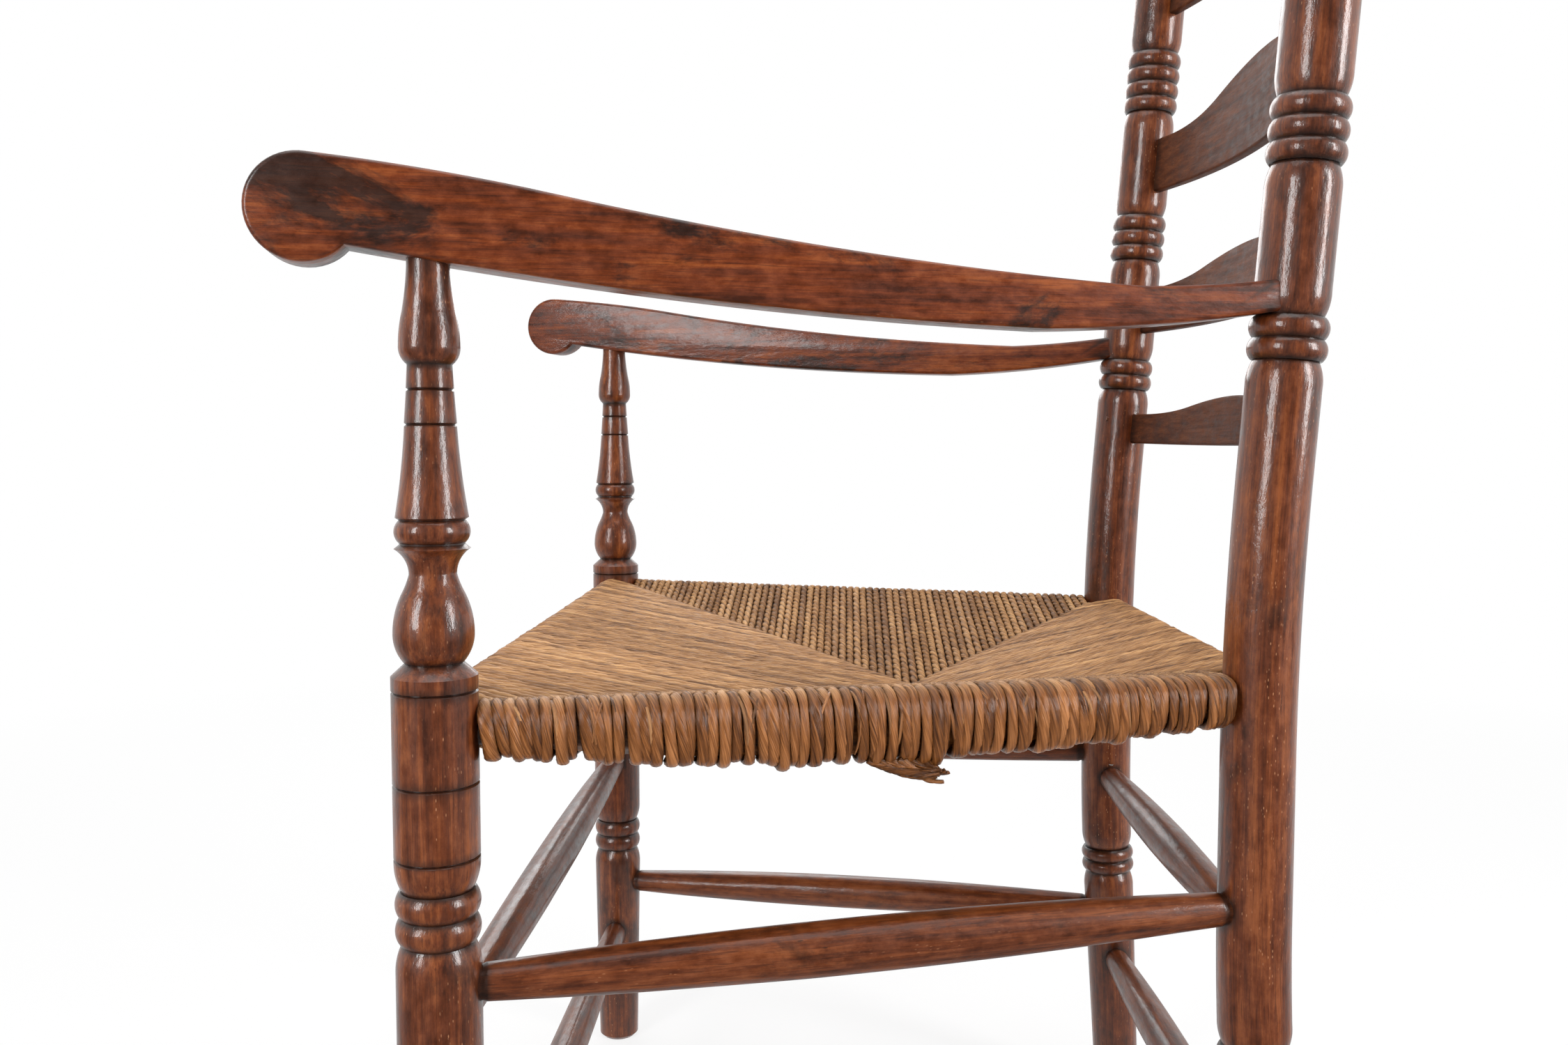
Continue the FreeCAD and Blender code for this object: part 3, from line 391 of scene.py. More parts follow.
class Shader:
    """A material under construction, with short calls for its nodes."""

    def __init__(self, name: str) -> None:
        """Start an empty node material with one shader and its output."""
        self.material = bpy.data.materials.new(name)
        self.material.use_nodes = True
        self.tree = self.material.node_tree
        self.tree.nodes.clear()
        self.surface = self.add("ShaderNodeBsdfPrincipled")
        self.output = self.add("ShaderNodeOutputMaterial")
        self.link(self.surface.outputs[0], self.output.inputs[0])

    def add(self, kind: str, **settings: object) -> bpy.types.Node:
        """Add a node and set its own properties."""
        node = self.tree.nodes.new(kind)
        for key, value in settings.items():
            setattr(node, key, value)
        return node

    def link(self, source: object, target: object) -> None:
        """Join two sockets."""
        self.tree.links.new(source, target)

    def attribute(self, name: str, output: str = "Vector") -> object:
        """The socket of a mesh attribute."""
        return self.add("ShaderNodeAttribute", attribute_name=name).outputs[output]

    def stretch(self, source: object, along: float) -> object:
        """Scale a vector on Z, so that a pattern runs longer along the grain."""
        node = self.add("ShaderNodeMapping", vector_type="POINT")
        self.link(source, node.inputs["Vector"])
        node.inputs["Scale"].default_value = (1.0, 1.0, along)
        return node.outputs[0]

    def noise(self, vector: object, pattern: Pattern) -> object:
        """A noise pattern.

        Args:
            vector: The socket of the place, with the grain along Z.
            pattern: What the pattern is like.

        Returns:
            The socket of its value, from 0 to 1.
        """
        node = self.add("ShaderNodeTexNoise")
        self.link(self.stretch(vector, pattern.along), node.inputs["Vector"])
        for word in ("scale", "detail", "roughness", "distortion"):
            node.inputs[word.title()].default_value = getattr(pattern, word)
        return node.outputs["Fac"]

    def specks(self, vector: object, spots: Specks) -> object:
        """A pattern of spots.

        Args:
            vector: The socket of the place, with the grain along Z.
            spots: What the spots are like.

        Returns:
            The socket of its value: 1 in the spots and 0 outside them.
        """
        node = self.add("ShaderNodeTexVoronoi")
        self.link(self.stretch(vector, spots.along), node.inputs["Vector"])
        node.inputs["Scale"].default_value = spots.scale
        near = self.span(node.outputs["Distance"], spots.radius, spots.radius * 0.5)
        pick = self.add("ShaderNodeSeparateColor")
        self.link(node.outputs["Color"], pick.inputs[0])
        chosen = self.span(pick.outputs[0], 1 - spots.share, 1 - spots.share * 0.6)
        return self.math("MULTIPLY", near, chosen)

    def total(self, *parts: tuple[object, float]) -> object:
        """Add up values, each times its own weight.

        Args:
            parts: Pairs of a value's socket and its weight.

        Returns:
            The sum's socket.
        """
        found = None
        for value, weight in parts:
            part = self.math("MULTIPLY", value, weight)
            found = part if found is None else self.math("ADD", found, part)
        return found

    def ramp(self, value: object, *stops: tuple[float, tuple]) -> object:
        """Turn a value into a colour.

        Args:
            value: The socket to read.
            stops: Pairs of a value and the colour that it becomes.

        Returns:
            The colour's socket.
        """
        node = self.add("ShaderNodeValToRGB")
        self.link(value, node.inputs[0])
        elements = node.color_ramp.elements
        while len(elements) < len(stops):
            elements.new(0.5)
        for element, (place, colour) in zip(elements, stops):
            element.position = place
            element.color = (*colour, 1.0)
        return node.outputs["Color"]

    def span(self, value: object, low: float, high: float, to_low: float = 0.0,
             to_high: float = 1.0) -> object:
        """Map a value from one range to another, held within it.

        Args:
            value: The socket to read.
            low: The value that becomes to_low.
            high: The value that becomes to_high.
            to_low: The result at low and beyond.
            to_high: The result at high and beyond.

        Returns:
            The result's socket.
        """
        node = self.add("ShaderNodeMapRange")
        self.link(value, node.inputs["Value"])
        for key, number in (("From Min", low), ("From Max", high), ("To Min", to_low),
                            ("To Max", to_high)):
            node.inputs[key].default_value = number
        return node.outputs["Result"]

    def math(self, operation: str, first: object, second: object) -> object:
        """One sum on two values.

        Args:
            operation: What is done with them.
            first: A socket or a number.
            second: A socket or a number.

        Returns:
            The result's socket.
        """
        node = self.add("ShaderNodeMath", operation=operation)
        for index, item in enumerate((first, second)):
            if isinstance(item, (int, float)):
                node.inputs[index].default_value = item
            else:
                self.link(item, node.inputs[index])
        return node.outputs[0]

    def mix(self, share: object, first: object, second: object) -> object:
        """Mix two colours.

        Args:
            share: How much of the second shows, as a socket or a number.
            first: A socket or a colour.
            second: A socket or a colour.

        Returns:
            The mixed colour's socket.
        """
        node = self.add("ShaderNodeMix", data_type="RGBA")
        for socket, item in ((node.inputs[0], share), (node.inputs[6], first),
                             (node.inputs[7], second)):
            if isinstance(item, tuple):
                socket.default_value = (*item, 1.0)
            elif isinstance(item, (int, float)):
                socket.default_value = item
            else:
                self.link(item, socket)
        return node.outputs[2]

    def bump(self, height: object, distance: float, strength: float = 1.0,
             under: object = None) -> object:
        """A bump from a height pattern, over another bump where one is given.

        Args:
            height: The pattern's socket.
            distance: The bump's depth in metres.
            strength: How much of it shows.
            under: The socket of a bump to lay it over.

        Returns:
            The bent normal's socket.
        """
        node = self.add("ShaderNodeBump")
        node.inputs["Strength"].default_value = strength
        node.inputs["Distance"].default_value = distance
        self.link(height, node.inputs["Height"])
        if under is not None:
            self.link(under, node.inputs["Normal"])
        return node.outputs[0]

    def show(self, colour: object, roughness: object, bumps: object) -> None:
        """Give the surface its looks.

        Args:
            colour: The colour's socket.
            roughness: The roughness's socket.
            bumps: The bent normal's socket, or None for a plain surface.
        """
        for word, source in (("Base Color", colour), ("Roughness", roughness),
                             ("Normal", bumps)):
            if source is not None:
                self.link(source, self.surface.inputs[word])


class Grain(Enum):
    """Where a finish finds the way of the grain: the piece's attribute, or an axis."""

    PIECE = (0, 1, 2)
    ALONG_X = (1, 2, 0)
    ALONG_Y = (2, 0, 1)


@dataclass(frozen=True)
class WoodFinish:
    """Stained and varnished beech, coloured from dark growth to pale flecks."""

    name: str
    dark: Colour
    middle: Colour
    light: Colour
    fleck: Colour = (0.42, 0.19, 0.085)
    # Dark colour for stains, dashes and dirt, and for the painted shade in hollows.
    dirt_and_shade: Colour = (0.010, 0.004, 0.002)
    roughness: float = 0.4
    varnish: float = 0.6
    varnish_roughness: float = 0.11
    sheen: float = 0.32
    flecks: float = 0.75
    dashes: float = 0.5
    stain: float = 0.5
    stain_from: float = 0.56
    grain: Grain = Grain.PIECE

    def place(self, shader: Shader) -> object:
        """The socket of the vector whose Z runs along the grain."""
        if self.grain is Grain.PIECE:
            return shader.attribute("grain")
        parts = shader.add("ShaderNodeSeparateXYZ")
        shader.link(shader.add("ShaderNodeTexCoord").outputs["Object"], parts.inputs[0])
        joined = shader.add("ShaderNodeCombineXYZ")
        for target, source in enumerate(self.grain.value):
            shader.link(parts.outputs[source], joined.inputs[target])
        return joined.outputs[0]

    def colour(self, shader: Shader, grain: object, streaks: object, mottle: object) -> object:
        """Lay growth, pores, flecks, dashes, stains, dirt and painted shade over each other.

        Args:
            shader: The material under construction.
            grain: The vector whose Z runs along the grain.
            streaks: The pattern of long growth lines.
            mottle: The pattern of small uneven patches.

        Returns:
            The socket of the wood's colour.
        """
        clouds = shader.noise(grain, CLOUDS)
        figure = shader.total((streaks, 0.4), (clouds, 0.3), (mottle, 0.3))
        wood = shader.ramp(figure, (0.40, self.dark), (0.5, self.middle), (0.61, self.light))
        pores = shader.span(shader.noise(grain, PORES), 0.54, 0.70, 0.0, 0.6)
        patches = shader.noise(grain, PATCHES)
        pale = shader.math("MULTIPLY", shader.specks(grain, FLECKS),
                           shader.span(patches, 0.47, 0.62, 0.0, self.flecks))
        short = shader.math("MULTIPLY", shader.specks(grain, DASHES),
                            shader.span(patches, 0.52, 0.40, 0.0, self.dashes))
        stains = shader.span(shader.noise(grain, STAINS), self.stain_from,
                             self.stain_from + 0.09, 0.0, self.stain)
        layers = [(pores, self.dark), (pale, self.fleck), (short, self.dirt_and_shade),
                  (stains, self.dirt_and_shade)]
        # Painted shade and dirt in valleys and grooves, and the dark joints, from the piece's
        # attribute.
        if self.grain is Grain.PIECE:
            recess = shader.attribute("recess", "Fac")
            layers.append((shader.math("MULTIPLY", recess, 0.9), self.dirt_and_shade))
        for share, paint in layers:
            wood = shader.mix(share, wood, paint)
        return wood

    def make(self) -> bpy.types.Material:
        """Build the material."""
        shader = Shader(self.name)
        grain = self.place(shader)
        streaks = shader.noise(grain, STREAKS)
        mottle = shader.noise(grain, MOTTLE)
        rough = shader.span(mottle, 0.35, 0.65, self.roughness - 0.07, self.roughness + 0.13)
        bumps = shader.bump(shader.noise(grain, WAVES), 0.0009, 0.5)
        bumps = shader.bump(streaks, 0.0003, 0.35, bumps)
        bumps = shader.bump(shader.noise(grain, PEEL), 0.00014, 0.7, bumps)
        shader.show(self.colour(shader, grain, streaks, mottle), rough, bumps)
        surface = shader.surface
        surface.inputs["Specular IOR Level"].default_value = self.sheen
        surface.inputs["Coat Weight"].default_value = self.varnish
        surface.inputs["Coat Roughness"].default_value = self.varnish_roughness
        shader.link(bumps, surface.inputs["Coat Normal"])
        return shader.material


@dataclass(frozen=True)
class RushFinish:
    """Twisted rush, from pale tan fibre on the seat to dark glossy rush round its edges."""

    name: str = "rush"
    dark: Colour = (0.12, 0.047, 0.012)
    middle: Colour = (0.36, 0.172, 0.062)
    light: Colour = (0.64, 0.36, 0.155)
    old_dark: Colour = (0.050, 0.014, 0.002)
    old_middle: Colour = (0.20, 0.067, 0.015)
    old_light: Colour = (0.42, 0.17, 0.056)
    # Colour of the painted shade and dirt between cords and in ply creases.
    dirt_and_shade: Colour = (0.014, 0.005, 0.002)

    def make(self) -> bpy.types.Material:
        """Build the material, which reads the cords' fibre, tone, age, and painted shade and dirt.
        """
        shader = Shader(self.name)
        fibre = shader.attribute("fibre")
        tone, age, recess = (shader.attribute(word, "Fac") for word in ("tone", "age", "recess"))
        fine = shader.noise(fibre, FINE_FIBRE)
        coarse = shader.noise(fibre, COARSE_FIBRE)
        value = shader.total((fine, 0.55), (coarse, 0.3), (tone, 0.15))
        pale = shader.ramp(value, (0.38, self.dark), (0.5, self.middle), (0.63, self.light))
        old = shader.ramp(value, (0.36, self.old_dark), (0.5, self.old_middle),
                          (0.66, self.old_light))
        rush = shader.mix(age, pale, old)
        # Painted shade and dirt darken the cords' sides and the creases between plies.
        rush = shader.mix(shader.math("MULTIPLY", recess, 0.85), rush, self.dirt_and_shade)
        lines = shader.bump(fine, 0.0006, 0.7)
        shader.show(rush, shader.span(age, 0.0, 1.0, 0.6, 0.3),
                    shader.bump(coarse, 0.0008, 0.5, lines))
        shader.surface.inputs["Specular IOR Level"].default_value = 0.4
        return shader.material


@dataclass(frozen=True)
class SteelFinish:
    """Plain dull steel of the nail."""

    name: str = "nail_steel"
    dark: Colour = (0.10, 0.09, 0.08)
    bright: Colour = (0.42, 0.40, 0.38)

    def make(self) -> bpy.types.Material:
        """Build the material on object coordinates."""
        shader = Shader(self.name)
        place = shader.add("ShaderNodeTexCoord").outputs["Object"]
        spots = shader.noise(place, STEEL_SPOTS)
        colour = shader.ramp(spots, (0.35, self.dark), (0.65, self.bright))
        shader.show(colour, shader.span(spots, 0.3, 0.7, 0.3, 0.55), None)
        shader.surface.inputs["Metallic"].default_value = 1.0
        return shader.material


@dataclass
class Turner:
    """Turns outlines into round pieces and records grain and dark hollows on them."""

    steps: int = 64
    longest: float = 4.0
    finest: float = 1.0

    def turn(self, name: str, corners: list[Corner], seed: int) -> bpy.types.Object:
        """Spin an outline round Z.

        Args:
            name: The piece's name.
            corners: The half outline in millimetres, across and up.
            seed: Chooses the stretch of timber that the grain is taken from.

        Returns:
            The round piece, upright on its own axis.
        """
        points = []
        for start, finish in zip(corners, corners[1:]):
            step = self.finest if start.bulge else self.longest
            points += arc_steps(start, finish, step)
        points.append((corners[-1].across, corners[-1].up))
        vertices = [(across * MM, 0.0, up * MM) for across, up in points]
        edges = [(index, index + 1) for index in range(len(points) - 1)]
        piece = adopt(name, vertices, edges, [])
        with editing():
            bpy.ops.mesh.spin(steps=self.steps, angle=2 * math.pi, center=(0, 0, 0),
                              axis=(0, 0, 1))
        tidy()
        self.record_grain(piece, seed)
        return piece

    def record_grain(self, piece: bpy.types.Object, seed: int) -> None:
        """Store each vertex's place in its own timber.

        Args:
            piece: The piece, before it is bent or placed.
            seed: Chooses the stretch of timber that the grain is taken from.
        """
        shift = Vector((seed * 0.173, seed * 0.091, seed * 0.37))
        values = []
        for vertex in piece.data.vertices:
            values += list(vertex.co + shift)
        write_values(piece, "grain", values)


def hollows(piece: bpy.types.Object, lows: list[ShadeAndDirtBand]) -> None:
    """Darken the valleys between rings and the scored lines with painted shade and dirt.

    Args:
        piece: A turned piece, upright on its own axis.
        lows: Heights of the valleys and how far each one's painted shade and dirt spread, in
            millimetres.
    """
    # Painted shade, with some dirt: each valley is darkened in the colour, not by the lamps.
    values = []
    for vertex in piece.data.vertices:
        height = vertex.co.z / MM
        values.append(max((math.exp(-((height - low) / spread) ** 2) for low, spread in lows),
                          default=0.0))
    write_values(piece, "recess", values)


def darken_joints(piece: bpy.types.Object, lines: list[Line]) -> None:
    """Darken a post round each place where another piece enters it.

    Args:
        piece: The placed post, with its attribute of painted shade and dirt.
        lines: For each joint two points on its axis and its radius, in metres.
    """
    data = piece.data.attributes["recess"].data
    for index, vertex in enumerate(piece.data.vertices):
        dark = data[index].value
        for start, finish, radius in lines:
            along = (finish - start).normalized()
            offset = vertex.co - start
            reach = offset.dot(along)
            if not 0.0 <= reach <= (finish - start).length:
                continue
            gap = (offset - along * reach).length - radius
            dark = max(dark, math.exp(-(max(gap, 0.0) / JOINT_DIRT) ** 2))
        data[index].value = dark


@dataclass
class Rings:
    """A set of turned rings with a waisted shoulder below and above, in millimetres."""

    count: int
    centre: float
    radius: float
    pitch: float
    post: float
    valley: float = 2.4
    neck: float = 17.2
    shoulder: float = 14.0
    crown: float = 0.9
    # How far the painted shade and dirt in each valley spread, in millimetres.
    dirt_and_shade: float = 2.0

    def corners(self) -> list[Corner]:
        """The set's stretch of the outline."""
        half = self.pitch * self.count / 2
        low = self.centre - half
        points = [Corner(self.post, low - self.shoulder, self.crown), Corner(self.neck, low)]
        inner = self.radius - self.valley
        for index in range(self.count):
            points.append(Corner(inner, low + self.pitch * index, self.valley))
        points.append(Corner(inner, self.centre + half))
        points.append(Corner(self.neck, self.centre + half, self.crown))
        points.append(Corner(self.post, self.centre + half + self.shoulder))
        return points

    def lows(self) -> list[ShadeAndDirtBand]:
        """The valleys that take painted shade and dirt."""
        low = self.centre - self.pitch * self.count / 2
        return [(low + self.pitch * index, self.dirt_and_shade) for index in range(self.count + 1)]


@dataclass
class Posts:
    """A left and a right turned post. Each kind has its own outline and its own stance."""

    finish: bpy.types.Material
    turner: Turner = field(default_factory=Turner)
    kind: str = ""
    seed: int = 0
    sharpest: float = 30.0

    def outline(self) -> tuple[list[Corner], list[ShadeAndDirtBand]]:
        """The half outline, and its valleys of painted shade and dirt."""
        raise NotImplementedError

    def stand(self, piece: bpy.types.Object, side: Side) -> None:
        """Set a turned post in its place."""
        raise NotImplementedError

    def build(self, joints: dict[str, list[Line]]) -> None:
        """Turn, place and dress both posts.

        Args:
            joints: Where other pieces enter each post.
        """
        for side in Side:
            name = "%s_post_%s" % (self.kind, side.word)
            corners, lows = self.outline()
            piece = self.turner.turn("turned_" + name, corners, self.seed + side.value)
            hollows(piece, lows)
            self.stand(piece, side)
            darken_joints(piece, joints[name])
            smooth(piece, self.sharpest)
            dress(piece, "post_wood", self.finish, name)


@dataclass
class FrontPosts(Posts):
    """The two turned front posts with their baluster tops.

    The corners from vase to tenon are measured up from the collar, and so are the bands of painted
    shade and dirt.
    """

    kind: str = "front"
    seed: int = 3
    foot: tuple[Corner, ...] = (Corner(0, 0), Corner(14.5, 0), Corner(17.5, 3))
    ring_heights: tuple[float, ...] = (192.0, 325.0)
    groove_heights: tuple[float, ...] = (353.8, 389.7, 434.6)
    vase_to_cone: tuple[Corner, ...] = (
        Corner(20.5, 1.9), Corner(20.0, 2.4), Corner(13.9, 8.0, 1.34), Corner(19.1, 22.0, 1.19),
        Corner(14.4, 42.0, -0.25), Corner(11.2, 50.5, -1.8), Corner(17.9, 62.8),
        Corner(15.4, 64.8), Corner(15.4, 65.4, 2.4), Corner(15.4, 76.4),
        Corner(17.15, 77.6, -0.6))
    cone_grooves: tuple[tuple[float, float], ...] = ((12.2, 121.5), (11.1, 138.0))
    bulb_to_tenon: tuple[Corner, ...] = (
        Corner(10.5, 149.6), Corner(10.7, 150.0, 1.15), Corner(14.3, 158.7, 0.45),
        Corner(12.4, 174.5, -0.35), Corner(10.0, 196.0), Corner(10.0, 202.0),
        Corner(7.5, 202.0), Corner(7.5, 220.0), Corner(0, 220.0))
    # Heights over the collar and spreads of the painted shade and dirt in the hollows.
    dirt_and_shade: tuple[ShadeAndDirtBand, ...] = ((8.0, 1.8), (65.1, 1.2), (76.6, 1.0), (121.5, 1.0), (138.0, 1.0),
                              (149.8, 1.6), (202.0, 3.0))

    def outline(self) -> tuple[list[Corner], list[ShadeAndDirtBand]]:
        """The half outline from foot to tenon, and its valleys of painted shade and dirt."""
        post = LAYOUT.post_radius
        collar = LAYOUT.collar
        points = list(self.foot)
        lows = [(collar + rise, spread) for rise, spread in self.dirt_and_shade]
        for height in self.ring_heights:
            rings = Rings(2, height, 20.4, 13.0, post)
            points += rings.corners()
            lows += rings.lows()
        for height in self.groove_heights:
            points += groove(post, height)
            lows.append((height, 1.2))
        points += raised(self.vase_to_cone, collar)
        for radius, rise in self.cone_grooves:
            points += groove(radius, collar + rise)
        return points + raised(self.bulb_to_tenon, collar), lows

    def stand(self, piece: bpy.types.Object, side: Side) -> None:
        """Set a post upright at its corner."""
        place = LAYOUT.place(side.value * LAYOUT.front_half, 0, 0)
        piece.data.transform(Matrix.Translation(place))


@dataclass
class BackPosts(Posts):
    """The two back posts, turned straight and then bent back above and below the seat."""

    kind: str = "back"
    seed: int = 7
    sharpest: float = 40.0
    low_rings: float = 205.0
    ring_sets: tuple[tuple[int, float], ...] = ((2, 609.5), (3, 720.7), (4, 845.5), (5, 997.0))
    shoulder: float = 1108.0
    finial: tuple[Corner, ...] = (Corner(20.0, -8.0, 2.0), Corner(8.0, 0.0, -1.2),
                                  Corner(8.0, 5.0, 7.0), Corner(4.0, 39.0), Corner(0, 39.0))

    def outline(self) -> tuple[list[Corner], list[ShadeAndDirtBand]]:
        """The half outline from below the floor to the finial, and its valleys of painted shade
        and dirt.
        """
        post = LAYOUT.back_post_radius
        sets = [Rings(2, self.low_rings, 21.0, 10.0, post)]
        sets += [Rings(count, height, 21.0, 11.8, post) for count, height in self.ring_sets]
        points = [Corner(0, -6), Corner(17.5, -6)]
        # A band of painted shade and dirt under the finial's shoulder.
        lows = [(self.shoulder + 2.5, 3.0)]
        for rings in sets:
            points += rings.corners()
            lows += rings.lows()
        return points + raised(self.finial, self.shoulder), lows

    def stand(self, piece: bpy.types.Object, side: Side) -> None:
        """Bend a post at its corner and cut it off level at the floor."""
        for vertex in piece.data.vertices:
            local = vertex.co / MM
            back, height, lean = LAYOUT.back_axis(local.z)
            vertex.co = LAYOUT.place(side.value * LAYOUT.back_half + local.x,
                                     LAYOUT.depth + back + local.y * math.cos(lean),
                                     height - local.y * math.sin(lean))
        with editing():
            bpy.ops.mesh.bisect(plane_co=(0, 0, 0), plane_no=(0, 0, 1), clear_inner=True,
                                use_fill=True)


@dataclass
class Stretchers:
    """The eight turned stretchers, each with a slight swell and hand-shaved flats."""

    finish: bpy.types.Material
    turner: Turner = field(default_factory=lambda: Turner(steps=40, longest=6.0))
    tenon: float = 8.5
    shoulder: float = 0.8
    inset: float = 5.5
    side_drops: tuple[tuple[float, float], ...] = ((151.0, 145.0), (293.0, 278.0))
    front_drops: tuple[float, ...] = (178.0, 336.0)
    back_drops: tuple[float, ...] = (163.0, 316.0)
    side_swell: float = 5.0
    end_swell: float = 4.0
    flats: int = 9
    flat_twist: float = 0.0015
    flat_depth: float = 0.45
    flat_fade: float = 30.0
    unevenness: float = 0.006

    def runs(self) -> dict[str, tuple[Vector, Vector, float]]:
        """Each stretcher's two ends on the post axes, in metres, and its swell in mm."""
        found = {}
        for side in Side:
            for word, (front, back) in zip(("upper", "lower"), self.side_drops):
                low = LAYOUT.collar - front
                high = LAYOUT.collar - back
                found["%s_%s_stretcher" % (side.word, word)] = (
                    LAYOUT.place(side.value * LAYOUT.front_half, 0, low),
                    LAYOUT.place(side.value * LAYOUT.back_half, LAYOUT.back_post_at(high), high),
                    self.side_swell)
        for place, half, drops in (("front", LAYOUT.front_half, self.front_drops),
                                   ("back", LAYOUT.back_half, self.back_drops)):
            for word, drop in zip(("upper", "lower"), drops):
                height = LAYOUT.collar - drop
                back = 0.0 if place == "front" else LAYOUT.back_post_at(height)
                found["%s_%s_stretcher" % (place, word)] = (
                    LAYOUT.place(-half, back, height), LAYOUT.place(half, back, height),
                    self.end_swell)
        return found

    def joints(self) -> dict[str, list[Line]]:
        """Where the stretchers enter each post: two points on the joint's axis, and its radius."""
        found = {"%s_post_%s" % (place, side.word): [] for place in ("front", "back")
                 for side in Side}
        for name, (start, finish, _) in self.runs().items():
            place = name.split("_")[0]
            for post, lines in found.items():
                if place in post.split("_"):
                    lines.append((start, finish, self.tenon * MM))
        return found

    def build(self) -> None:
        """Turn, shave, place and dress each stretcher."""
        for seed, (name, (start, finish, swell)) in enumerate(self.runs().items()):
            span = (finish - start).length / MM
            half = span / 2 + self.inset
            inner = span / 2 - LAYOUT.post_radius
            body = self.tenon + self.shoulder
            corners = [Corner(0, -half), Corner(self.tenon, -half), Corner(self.tenon, -inner),
                       Corner(body, -inner + 2.0, swell), Corner(body, inner - 2.0),
                       Corner(self.tenon, inner), Corner(self.tenon, half), Corner(0, half)]
            piece = self.turner.turn("turned_" + name, corners, 20 + seed)
            hollows(piece, [(-inner + 1.0, 2.2), (inner - 1.0, 2.2)])
            self.shave(piece, inner, seed)
            lay_between(piece, start, finish)
            smooth(piece, 60.0)
            dress(piece, "stretcher_wood", self.finish, name)

    def shave(self, piece: bpy.types.Object, inner: float, seed: int) -> None:
        """Flatten the round a little in long uneven strips, as a shave leaves it.

        Args:
            piece: The stretcher, upright on its own axis.
            inner: How far from its middle the strips reach, in millimetres.
            seed: Chooses where the strips lie.
        """
        sector = 2 * math.pi / self.flats
        for vertex in piece.data.vertices:
            point = vertex.co / MM
            if abs(point.z) > inner:
                continue
            angle = math.atan2(point.y, point.x) + seed + point.z * self.flat_twist
            inside = (angle % sector) - sector / 2
            flat = math.cos(sector / 2) / math.cos(inside)
            fade = min(1.0, (inner - abs(point.z)) / self.flat_fade) * self.flat_depth
            wobble = noise.noise(Vector((angle, point.z * 0.02, seed))) * self.unevenness
            scale = 1 + (flat * 1.012 - 1) * fade + wobble * fade
            vertex.co.x *= scale
            vertex.co.y *= scale


@dataclass
class Slat:
    """One bowed slat: lower edge, height at its ends and at its crest, in millimetres."""

    name: str
    level: float
    end: float
    crest: float


@dataclass
class Slats:
    """The five bowed slats with ogee top edges."""

    finish: bpy.types.Material
    bow: float = 30.0
    set_back: float = 2.0
    thickness: float = 8.0
    ease: float = 1.7
    reach: float = 176.0
    shoulder: float = 33.0
    rows: tuple[Slat, ...] = (Slat("slat_1", 1040.0, 56.0, 98.0),
                              Slat("slat_2", 896.0, 50.0, 82.0),
                              Slat("slat_3", 756.0, 42.0, 66.0),
                              Slat("slat_4", 643.0, 35.0, 49.0),
                              Slat("slat_5", 554.0, 23.5, 34.0))

    def top(self, slat: Slat, across: float) -> float:
        """The height of a slat's top edge over its lower edge.

        Args:
            slat: The slat.
            across: Millimetres from the chair's middle.

        Returns:
            The height in millimetres.
        """
        start = LAYOUT.back_half - self.shoulder
        turn = start / 2
        rise = slat.crest - slat.end
        away = abs(across)
        if away >= start:
            return slat.end
        if away >= turn:
            return slat.end + rise / 2 * ((start - away) / turn) ** 2
        return slat.crest - rise / 2 * (away / turn) ** 2

    def plan(self, across: float) -> float:
        """How far the slat's middle line stands behind the line between the posts."""
        half = LAYOUT.back_half
        radius = (half * half + self.bow * self.bow) / (2 * self.bow)
        return self.bow - radius + math.sqrt(radius * radius - across * across) + self.set_back

    def frame(self, slat: Slat) -> Matrix:
        """The slat's own placement, leaning with the posts."""
        base = LAYOUT.place(0, LAYOUT.back_post_at(slat.level), slat.level)
        return Matrix.Translation(base) @ Matrix.Rotation(-math.radians(LAYOUT.rake), 4, "X")

    def build(self) -> None:
        """Shape, thicken, ease and dress each slat."""
        for seed, slat in enumerate(self.rows):
            deselect()
            bpy.ops.mesh.primitive_grid_add(x_subdivisions=72, y_subdivisions=8, size=2)
            piece = bpy.context.object
            piece.name = "bowed_" + slat.name
            for vertex in piece.data.vertices:
                across = vertex.co.x * self.reach
                share = (vertex.co.y + 1) / 2
                vertex.co = Vector((across, self.plan(across),
                                    share * self.top(slat, across))) * MM
            self.thicken(piece)
            shift = Vector((seed * 0.21, seed * 0.13 + 1.0, seed * 0.31))
            record_board(piece, shift, (LAYOUT.back_half - LAYOUT.back_post_radius) * MM)
            piece.data.transform(self.frame(slat))
            smooth(piece, 50.0)
            dress(piece, "slat_wood", self.finish, slat.name)

    def thicken(self, piece: bpy.types.Object) -> None:
        """Give the bowed face its thickness and ease its long edges."""
        solid = piece.modifiers.new("thickness", "SOLIDIFY")
        solid.thickness = self.thickness * MM
        solid.offset = 0.0
        solid.use_even_offset = True
        bpy.ops.object.modifier_apply(modifier="thickness")
        ease_edges(piece, self.ease, 3, 50.0)
        tidy()


